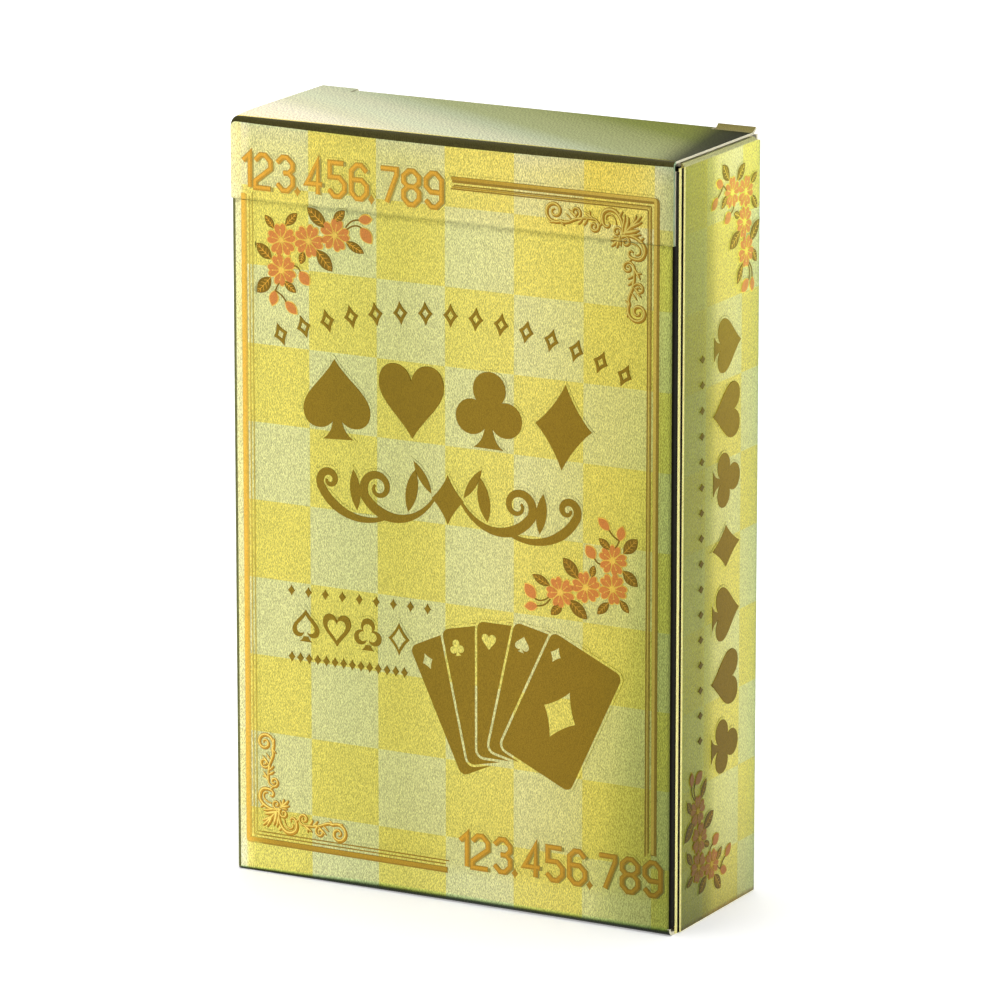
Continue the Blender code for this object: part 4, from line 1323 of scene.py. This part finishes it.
class DECK_OT_frame_lines(bpy.types.Operator):
    """Emboss the double lines around the front"""
    bl_idname = "deck.frame_lines"
    bl_label = "Frame lines"

    def execute(self, context):
        slope = context.scene.deck_print.slope / MM
        rims, edges, lines = [], [], []
        # Widths of the raised ground, the outer line, and the inner line's edges and core; then half the
        # gap between those edges.
        ground, thick, fine, core, gap = 2.2, 0.72, 0.12, 0.16, 0.22
        for way, radius, outer, inner in zip((-1.0, 1.0), (0.25, 0.12), FRAME_OUTER, FRAME_INNER):
            outer = round_corners(outer, (None, radius, None))
            inner = round_corners(inner, (None, radius * 0.5, None))
            rims += stroke([(u + way * 0.55, v + way * 0.45) for u, v in outer], ground)
            edges += stroke(outer, thick)
            for shift in (-gap, gap):
                edges += stroke([(u + shift, v + shift) for u, v in inner], fine)
            # The line's core lies up and to the left of its edges, a painted highlight that leaves painted shade
            # at the lower right.
            inset, width = (0.15, 0.38) if way < 0.0 else (0.07, 0.46)
            lines += stroke([(u - inset, v + inset) for u, v in outer], width)
            if way < 0.0:
                lines += stroke(inner, core)
        press(context, "front", ("frame_rim", "front", rims, 0.018, slope * 2.0),
              ("frame_edges", "line_edge", edges, 0.036, slope * 0.7),
              ("frame_lines", "line", lines, 0.042, slope * 0.4))
        return {"FINISHED"}


class DECK_OT_numerals(bpy.types.Operator):
    """Emboss the rows of plain numerals at two corners"""
    bl_idname = "deck.numerals"
    bl_label = "Numerals"

    def execute(self, context):
        sizes = context.scene.deck_print
        slope, rim, high = sizes.slope / MM, sizes.rim / MM, sizes.numeral / MM
        rims, shades, edges, lines = [], [], [], []
        # Width of a stroke and of a numeral, and the steps to the next sign after a gap, a one and the rest.
        weight, wide = 0.56, 2.1
        gap_step, one_step, step = 1.02, 1.9, 3.04
        # Shift to the right and up, and width, of each layer's strokes.
        # The gold lines, shifted up and to the left, are a painted highlight, and the shades to the right a
        # painted shadow.
        layers = ((lines, -0.05, 0.05, weight * 0.55), (edges, 0.0, 0.0, weight * 1.15),
                  (shades, 0.3, -0.08, weight * 0.8), (rims, 0.0, 0.0, weight + 2.0 * rim))
        for place, low in ((-28.75, 85.12), (0.75, 4.55)):
            for sign in "123 456 789":
                if sign == " ":
                    diamond = moved(suit("diamond")[0], (place - 0.02, low + 0.35), 0.62)
                    edges.append(diamond)
                    rims.append(grow_loop(diamond[::-1], rim))
                    place += gap_step
                    continue
                for points in NUMERALS[sign]:
                    closed = points[-1] == "closed"
                    points = points[:-1] if closed else points
                    run = [(place + weight / 2.0 + u * wide, low + weight / 2.0 + v * (high - weight))
                           for u, v in points]
                    for layer, right, up, width in layers:
                        layer.extend(stroke([(u + right, v + up) for u, v in run], width, closed))
                place += one_step if sign == "1" else step
        press(context, "front", ("numeral_rims", "front", rims, 0.02, slope * 1.6),
              ("numeral_shades", "gold_shade", shades, 0.026, slope * 0.7),
              ("numeral_edges", "gold_mid", edges, 0.036, slope * 0.7),
              ("numerals", "gold", lines, 0.043, slope * 0.4))
        return {"FINISHED"}


def scroll_lines():
    """Lines and leaves of half a corner scroll; u and v run from the frame's corner along its sides."""
    runs = [
        # End curl with the long stem under it.
        (spiral((13.05, 1.56), 1.5, 0.2, 129.0, -590.0, 36)[::-1]
         + curve((12.06, 2.76), (11.4, 3.1), (10.6, 2.4), (9.9, 2.25), 8)[1:]
         + curve((9.9, 2.25), (9.2, 2.05), (8.3, 2.0), (7.4, 2.1), 8)[1:], (0.12, 0.34, 0.46, 0.36, 0.22)),
        (spiral((7.62, 2.95), 0.86, 0.14, -105.0, -500.0, 24), (0.22, 0.34, 0.26, 0.16)),
        (curve((9.0, 2.1), (9.4, 2.2), (9.6, 2.4), (9.82, 2.2), 4)
         + spiral((10.15, 1.45), 0.78, 0.14, 114.0, 500.0, 24)[1:], (0.14, 0.32, 0.26, 0.14)),
        # Great curl beside the corner, with a fine line inside it.
        (curve((3.8, 4.08), (3.6, 3.0), (3.6, 2.2), (4.12, 1.42), 8)
         + curve((4.12, 1.42), (4.5, 0.85), (4.9, 0.66), (5.34, 0.66), 6)[1:]
         + curve((5.34, 0.66), (6.1, 0.66), (6.6, 1.2), (6.5, 1.9), 6)[1:]
         + curve((6.5, 1.9), (6.45, 2.5), (6.2, 2.9), (5.8, 2.85), 5)[1:]
         + curve((5.8, 2.85), (5.45, 2.8), (5.4, 2.45), (5.65, 2.3), 4)[1:],
         (0.16, 0.42, 0.56, 0.5, 0.34, 0.14)),
        (curve((4.55, 2.5), (4.6, 1.8), (4.95, 1.3), (5.4, 1.28), 6)
         + curve((5.4, 1.28), (5.85, 1.28), (6.02, 1.6), (5.95, 1.95), 5)[1:], (0.08, 0.2, 0.1)),
        (spiral((4.45, 3.3), 0.74, 0.14, 135.0, 450.0, 22), (0.24, 0.3, 0.24, 0.14)),
    ]
    leaves = [((9.9, 2.2), (11.15, 1.15), 0.42), ((10.7, 2.4), (11.5, 1.75), 0.3),
              ((9.16, 2.2), (9.85, 2.95), 0.36), ((8.5, 2.1), (9.05, 3.0), 0.36),
              ((7.6, 2.1), (8.9, 1.3), 0.45), ((8.2, 2.0), (8.2, 1.1), 0.3),
              ((12.9, 2.9), (13.8, 3.05), 0.28), ((12.3, 2.7), (11.7, 3.3), 0.3),
              ((3.5, 3.85), (2.85, 1.4), 0.78), ((3.7, 3.0), (3.35, 1.15), 0.42),
              ((2.7, 2.75), (1.8, 1.05), 0.5), ((4.0, 4.1), (5.35, 4.5), 0.46),
              ((4.0, 4.0), (5.05, 3.95), 0.3), ((4.3, 1.5), (3.7, 0.75), 0.34),
              ((6.35, 2.3), (6.95, 2.9), 0.26)]
    return runs, leaves


class DECK_OT_scrolls(bpy.types.Operator):
    """Emboss the scrolls inside two corners of the frame"""
    bl_idname = "deck.scrolls"
    bl_label = "Corner scrolls"

    def execute(self, context):
        slope = context.scene.deck_print.slope / MM
        rims, shades, edges, lines = [], [], [], []
        runs, leaves = scroll_lines()
        spine = [((3.6, 3.6), (1.1, 1.1), 0.6), ((3.9, 3.9), (5.25, 5.25), 0.55)]
        # Lift to the upper left, then share and addition to the width of lines and of leaves, for each layer.
        # The light lines, lifted to the upper left, are a painted highlight, and the shades, set to the lower
        # right, a painted shadow.
        layers = ((edges, 0.0, (0.8, 0.06), (0.85, 0.0)), (lines, 0.05, (0.28, 0.03), (0.35, 0.0)),
                  (shades, -0.08, (0.8, 0.06), (0.85, 0.0)), (rims, 0.0, (1.0, 0.5), (1.0, 0.35)))
        for origin, way in ((FRAME_INNER[0][1], -0.96), (FRAME_INNER[1][1], 0.89)):
            for swap in (False, True):
                def spot(point, lift):
                    u, v = point[::-1] if swap else point
                    return (origin[0] + way * u - lift, origin[1] + way * v + lift)

                for layer, lift, (gain, more), (leaf_gain, leaf_more) in layers:
                    for points, widths in runs:
                        layer.extend(ribbon([spot(point, lift) for point in points],
                                            [width * gain + more for width in widths]))
                    for base, tip, width in leaves + (spine if swap else []):
                        layer.append(teardrop(spot(base, lift), spot(tip, lift),
                                              width * leaf_gain + leaf_more))
        press(context, "front", ("scroll_rims", "front", rims, 0.016, slope * 1.5),
              ("scroll_shades", "gold_edge", shades, 0.028, slope * 0.5),
              ("scroll_edges", "gold_mid", edges, 0.036, slope * 0.5),
              ("scrolls", "gold_light", lines, 0.043, slope * 0.3))
        return {"FINISHED"}


class DECK_OT_blossoms(bpy.types.Operator):
    """Emboss the blossom sprays on the front and the right side"""
    bl_idname = "deck.blossoms"
    bl_label = "Blossom sprays"

    def execute(self, context):
        tree = petal_tree()
        for face, sprays in (("front", FRONT_SPRAYS), ("side", SIDE_SPRAYS)):
            self.spray(context, tree, face, sprays)
        return {"FINISHED"}

    def petal(self, grow, height):
        """One petal with its notched tip, pointing away from the centre."""
        half = curve((0.0, 0.35), (0.2, 0.5), (0.62, 0.85), (0.74, 1.3), 7)
        half += curve((0.74, 1.3), (0.8, 1.95), (0.3, 2.15), (0.0, 1.6), 6)[1:]
        return stamp("one_petal", [both_sides(half)], height, 0.07, grow)

    def stamen(self):
        """One thread with its dot, pointing away from the centre."""
        line = ribbon([(0.0, 0.3), (0.0, 0.8), (0.0, 1.25)], (0.1, 0.07, 0.05)) + [disc((0.0, 1.27), 0.1, 8)]
        return stamp("one_stamen", line, 0.05, 0.03)

    def ring(self, tree, petal, count, centres, finish):
        """Petals or stamens around all centres, grown by the node tree; lets the one petal go."""
        mesh = bpy.data.meshes.new("centres")
        mesh.from_pydata([(u, v, 0.0) for u, v, _, _ in centres], [], [])
        for label, values in (("size", [size for _, _, size, _ in centres]),
                              ("turn", [math.radians(turn) for _, _, _, turn in centres])):
            mesh.attributes.new(label, "FLOAT", "POINT").data.foreach_set("value", values)
        grown = run_tree(mesh, tree, {"Petal": petal, "Petals": count, "Finish": finish})
        bpy.data.objects.remove(petal)
        return grown

    def veins(self, base, tip, width):
        """Middle and side veins of a leaf."""
        way = tip - base
        side = Vector((-way.y, way.x)).normalized() * width
        lines = ribbon([base, base + way * 0.5, base + way * 0.94], (0.1, 0.08, 0.04))
        for share, reach in ((0.2, 0.24), (0.38, 0.32), (0.56, 0.28), (0.74, 0.16)):
            for hand in (-1.0, 1.0):
                root = base + way * share
                lines += ribbon([root, root + way * 0.13 + side * (hand * reach)], (0.09, 0.04))
        return lines

    def spray(self, context, tree, face, sprays):
        """All sprays of one face, a piece for each ink."""
        centres, buds, leaves, veins = [], [], [], []
        for origin, scale, turn in sprays:
            def spot(point):
                return moved([point], origin, scale, turn)[0]

            for u, v, size, facing in SPRAY_FLOWERS:
                centres.append((*spot((u, v)), size * scale, facing + turn))
            for base, tip, width in SPRAY_BUDS:
                buds.append(teardrop(spot(base), spot(tip), width * scale))
                end = tuple(Vector(spot(base)) * 0.45 + Vector(spot(tip)) * 0.55)
                leaves.append(teardrop(spot(base), end, width * 0.6 * scale))
            for base, tip, width in SPRAY_LEAVES:
                leaves.append(teardrop(spot(base), spot(tip), width * 1.3 * scale))
                veins += self.veins(Vector(spot(base)), Vector(spot(tip)), width * 1.3 * scale)
            for points in SPRAY_STEMS:
                leaves += ribbon(curve(*[spot(point) for point in points], 8), (0.18, 0.16, 0.18))
        hearts = [disc((u, v), 0.4 * size, 12) for u, v, size, _ in centres]
        shapes = {"petal": emboss(buds, 0.044, 0.07), "outline": emboss(hearts, 0.05, 0.05),
                  "leaf": emboss(leaves, 0.037, 0.06), "gold": emboss(veins, 0.042, 0.03),
                  face: emboss(leaves, 0.018, 0.08, 0.2)}
        emboss(buds, 0.03, 0.07, 0.1, shapes["outline"])
        for look, one, count in (("petal", self.petal(0.0, 0.044), 5), ("outline", self.petal(0.1, 0.03), 5),
                                 ("outline", self.stamen(), 10)):
            shapes[look].from_mesh(self.ring(tree, one, count, centres, LOOKS[f"{look}_{face}"]))
            one_finish(shapes[look])
        names = {"petal": "petals", "outline": "petal_outlines", "leaf": "leaves", "gold": "leaf_veins",
                 face: "leaf_rims"}
        for look, shape in shapes.items():
            finish_print(context, f"{face}_{names[look]}", shape, face, look)


class DECK_OT_motifs(bpy.types.Operator):
    """Emboss the suit signs, the fan of cards and the rows of small signs"""
    bl_idname = "deck.motifs"
    bl_label = "Suit signs and fan"

    def execute(self, context):
        tree = row_tree()
        self.suits(context)
        self.flourish(context)
        self.fan(context)
        arch = arc((0.0, 13.0), 59.5, 113.0, 67.0, 40)
        ring = stroke(suit("diamond")[0], 0.34, True)
        sign_rows(context, "arch_signs", "front", "bronze", tree, ring, [(arch, 15)])
        lines = [([(-22.0, 36.2), (-3.2, 36.2)], 9), ([(-22.0, 27.9), (-6.4, 27.9)], 14)]
        small = [moved(loop, (0.0, 0.0), 0.62) for loop in suit("diamond")]
        sign_rows(context, "small_signs", "front", "bronze", tree, small, lines)
        column = [([(-4.0, 22.5), (-4.0, 69.0)], 16)]
        sign_rows(context, "side_small_signs", "side", "bronze", tree, small, column)
        return {"FINISHED"}

    def motif(self, context, name, face, pieces):
        """A bronze motif with the raised foil around it."""
        slope, rim = context.scene.deck_print.slope / MM, context.scene.deck_print.rim / MM
        press(context, face, (name + "_rims", face, pieces, 0.02, slope * 1.8, rim),
              (name, "bronze", pieces, 0.042, slope * 0.7))

    def signs(self, context, name, face, places):
        """Suit signs, each with its kind, middle, scale and turn."""
        pieces = [moved(loop, middle, scale, turn) for kind, middle, scale, turn in places
                  for loop in suit(kind)]
        self.motif(context, name, face, pieces)

    def suits(self, context):
        """Four large signs on the front, a column of them on the side and a row of outlined ones."""
        front = [("spade", (-15.6, 60.6), 4.9, 3.0), ("heart", (-5.3, 61.6), 4.6, 1.0),
                 ("club", (5.2, 61.6), 4.7, -1.0), ("diamond", (15.2, 60.6), 5.2, -3.0)]
        self.signs(context, "suit_signs", "front", front)
        kinds = ("spade", "heart", "club", "diamond")
        column = [(kinds[place % 4], (2.4, 69.6 - 8.2 * place), 3.5, -90.0) for place in range(7)]
        self.signs(context, "side_suit_signs", "side", column)
        row = [(kinds[place], (-20.0 + 4.3 * place, 32.0), 2.0, 0.0) for place in range(4)]
        self.signs(context, "outlined_signs", "front", row)
        centres = [moved(loop, middle, 1.3, 0.0) for kind, middle, _, _ in row for loop in suit(kind)]
        press(context, "front", ("outlined_sign_centres", "front", centres, 0.046, 0.05))

    def flourish(self, context):
        """Scrolled divider under the suit signs, the same on both hands."""
        middle, level = -0.4, 49.6
        half = ribbon(curve((1.9, 0.2), (4.6, -3.6), (9.0, -3.6), (11.3, -0.5), 12)
                      + spiral((9.5, 0.75), 2.2, 0.5, -34.0, 430.0, 30)[1:], (0.35, 1.3, 1.0, 0.75, 0.5, 0.3))
        half += ribbon(curve((7.4, -2.2), (10.4, -4.4), (15.4, -3.6), (17.4, 0.2), 12)
                       + spiral((16.2, 1.0), 1.45, 0.35, -34.0, 400.0, 24)[1:], (0.3, 1.15, 0.9, 0.6, 0.3))
        half += [teardrop((5.4, -1.7), (4.4, 3.6), 1.7), teardrop((12.4, -2.3), (12.9, 2.6), 1.5),
                 teardrop((2.2, 0.9), (4.6, 4.6), 1.1)]
        pieces = [moved(loop, (middle, level + 0.4), 3.0) for loop in suit("diamond")]
        for hand in (-1.0, 1.0):
            pieces += [[(middle + hand * u, level + v) for u, v in piece] for piece in half]
        self.motif(context, "flourish", "front", pieces)

    def fan(self, context):
        """Fan of five cards, each a little above the one before it."""
        slope = context.scene.deck_print.slope / MM
        rims, cards, pips = bmesh.new(), bmesh.new(), bmesh.new()
        pivot = Vector((8.8, 12.6))
        # Half width, height and corner radius of a card, its distance from the pivot, and the rise from
        # card to card.
        half, tall, corner, reach, rise = 5.2, 16.8, 0.9, 6.2, 0.005
        card = round_corners([(-half, 0.0), (half, 0.0), (half, tall), (-half, tall)], (corner,) * 4, 4)
        kinds = ("diamond", "club", "heart", "spade", "diamond")
        for place, turn in enumerate((25.0, 12.5, 0.0, -12.5, -25.0)):
            lift = rise * place
            outline = moved([(u, v + reach) for u, v in card], pivot, 1.0, turn)
            emboss([outline], 0.024 + lift, slope * 0.5, 0.0, cards)
            emboss([outline], 0.0215 + lift, slope * 0.5, 0.3, rims)
            spots = [((-3.6, 20.6), 1.0)] + ([((0.0, 14.2), 3.2)] if place == 4 else [])
            for spot, scale in spots:
                middle = moved([spot], pivot, 1.0, turn)[0]
                sign = [moved(loop, middle, scale, turn) for loop in suit(kinds[place])]
                emboss(sign, 0.027 + lift, slope * 0.4, 0.0, pips)
        for name, shape, look in (("rims", rims, "front"), ("cards", cards, "bronze"),
                                  ("pips", pips, "front")):
            finish_print(context, "fan_" + name, shape, "front", look)


class DECK_OT_stage(bpy.types.Operator):
    """Set the floor, the studio light and the camera"""
    bl_idname = "deck.stage"
    bl_label = "Stage"

    def execute(self, context):
        stage = context.scene.deck_stage
        scene = context.scene
        scene.view_settings.view_transform = "Standard"
        shape = bmesh.new()
        bmesh.ops.create_circle(shape, cap_ends=True, radius=4.0, segments=96)
        mesh = bpy.data.meshes.new("studio_floor")
        shape.to_mesh(mesh)
        shape.free()
        floor = link(mesh)
        made, _, shader, _ = new_material("white_table", 0.0, 0.9)
        shader.inputs["Base Color"].default_value = opaque((0.9, 0.9, 0.9))
        shader.inputs["Emission Color"].default_value = opaque((1.0, 1.0, 1.0))
        shader.inputs["Emission Strength"].default_value = stage.floor_glow
        mesh.materials.append(made)

        # Light all round that fades upwards, and a soft light straight above.
        world = bpy.data.worlds.new("studio")
        world.use_nodes = True
        scene.world = world
        tree = world.node_tree
        where = add_node(tree, "ShaderNodeTexCoord").outputs["Generated"]
        height = add_node(tree, "ShaderNodeSeparateXYZ", None, {"Vector": where}).outputs["Z"]
        around, above = [
            add_node(tree, "ShaderNodeMapRange", {"interpolation_type": "SMOOTHSTEP"},
                     {"Value": height, "From Min": low, "From Max": high, "To Min": first, "To Max": last})
            for low, high, first, last in ((0.1, 0.6, stage.fill, stage.fill * 0.1),
                                           (0.85, 0.97, 0.0, stage.overhead))]
        both = add_node(tree, "ShaderNodeMath", {"operation": "ADD"},
                        {0: around.outputs["Result"], 1: above.outputs["Result"]})
        background = tree.nodes["Background"]
        tree.links.new(both.outputs[0], background.inputs["Strength"])
        background.inputs["Color"].default_value = opaque((1.0, 1.0, 1.0))

        for name, place, size, share in (("key_light", (-0.55, -0.6, 0.45), 0.6, 1.0),
                                         ("back_light", (-0.35, 0.75, 0.5), 0.6, 0.9),
                                         ("right_light", (0.7, -0.35, 0.45), 0.4, 0.2)):
            self.lamp(scene, name, place, size, stage.key * share)

        azimuth, elevation = stage.azimuth, stage.elevation
        back = Vector((math.sin(azimuth) * math.cos(elevation), -math.cos(azimuth) * math.cos(elevation),
                       math.sin(elevation)))
        right = Vector((math.cos(azimuth), math.sin(azimuth), 0.0))
        up = back.cross(right)
        lens = bpy.data.cameras.new("camera")
        lens.sensor_width = 36.0
        lens.lens = stage.lens
        lens.clip_start = 0.05
        camera = bpy.data.objects.new("camera", lens)
        middle = Vector((0.0, 0.0, HEIGHT / 2.0))
        place = middle + back * stage.distance + right * stage.aim_right + up * stage.aim_up
        camera.matrix_world = Matrix.Translation(place) @ Matrix((right, up, back)).transposed().to_4x4()
        scene.collection.objects.link(camera)
        scene.camera = camera
        return {"FINISHED"}

    def lamp(self, scene, name, place, size, power):
        """A square soft light that faces the carton."""
        light = bpy.data.lights.new(name, "AREA")
        light.size = size
        light.energy = power
        lamp = bpy.data.objects.new(name, light)
        lamp.location = place
        way = Vector((0.0, 0.0, HEIGHT / 2.0)) - Vector(place)
        lamp.rotation_euler = way.to_track_quat("-Z", "Y").to_euler()
        scene.collection.objects.link(lamp)


OPERATORS = (DECK_OT_carton, DECK_OT_lid, DECK_OT_cards, DECK_OT_frame_lines, DECK_OT_numerals,
             DECK_OT_scrolls, DECK_OT_blossoms, DECK_OT_motifs, DECK_OT_stage)


class DECK_PT_sidebar(bpy.types.Panel):
    """Lists the steps that dress the deck"""
    bl_idname = "DECK_PT_sidebar"
    bl_label = "Card Deck"
    bl_space_type = "VIEW_3D"
    bl_region_type = "UI"
    bl_category = "Card Deck"

    def draw(self, context):
        for operator in OPERATORS:
            self.layout.operator(operator.bl_idname)


GROUPS = (("deck_carton", CartonSizes), ("deck_print", PrintSizes), ("deck_finishes", Finishes),
          ("deck_stage", StageSettings))


def register():
    for name, group in GROUPS:
        bpy.utils.register_class(group)
        setattr(bpy.types.Scene, name, bpy.props.PointerProperty(type=group))
    for made in OPERATORS + (DECK_PT_sidebar,):
        bpy.utils.register_class(made)


def unregister():
    for made in reversed(OPERATORS + (DECK_PT_sidebar,)):
        bpy.utils.unregister_class(made)
    for name, group in reversed(GROUPS):
        delattr(bpy.types.Scene, name)
        bpy.utils.unregister_class(group)


def main():
    register()
    bpy.ops.deck.carton()
    bpy.ops.deck.lid()
    bpy.ops.deck.cards()
    bpy.ops.deck.frame_lines()
    bpy.ops.deck.numerals()
    bpy.ops.deck.scrolls()
    bpy.ops.deck.blossoms()
    bpy.ops.deck.motifs()
    bpy.ops.deck.stage()


if __name__ == "__main__":
    main()
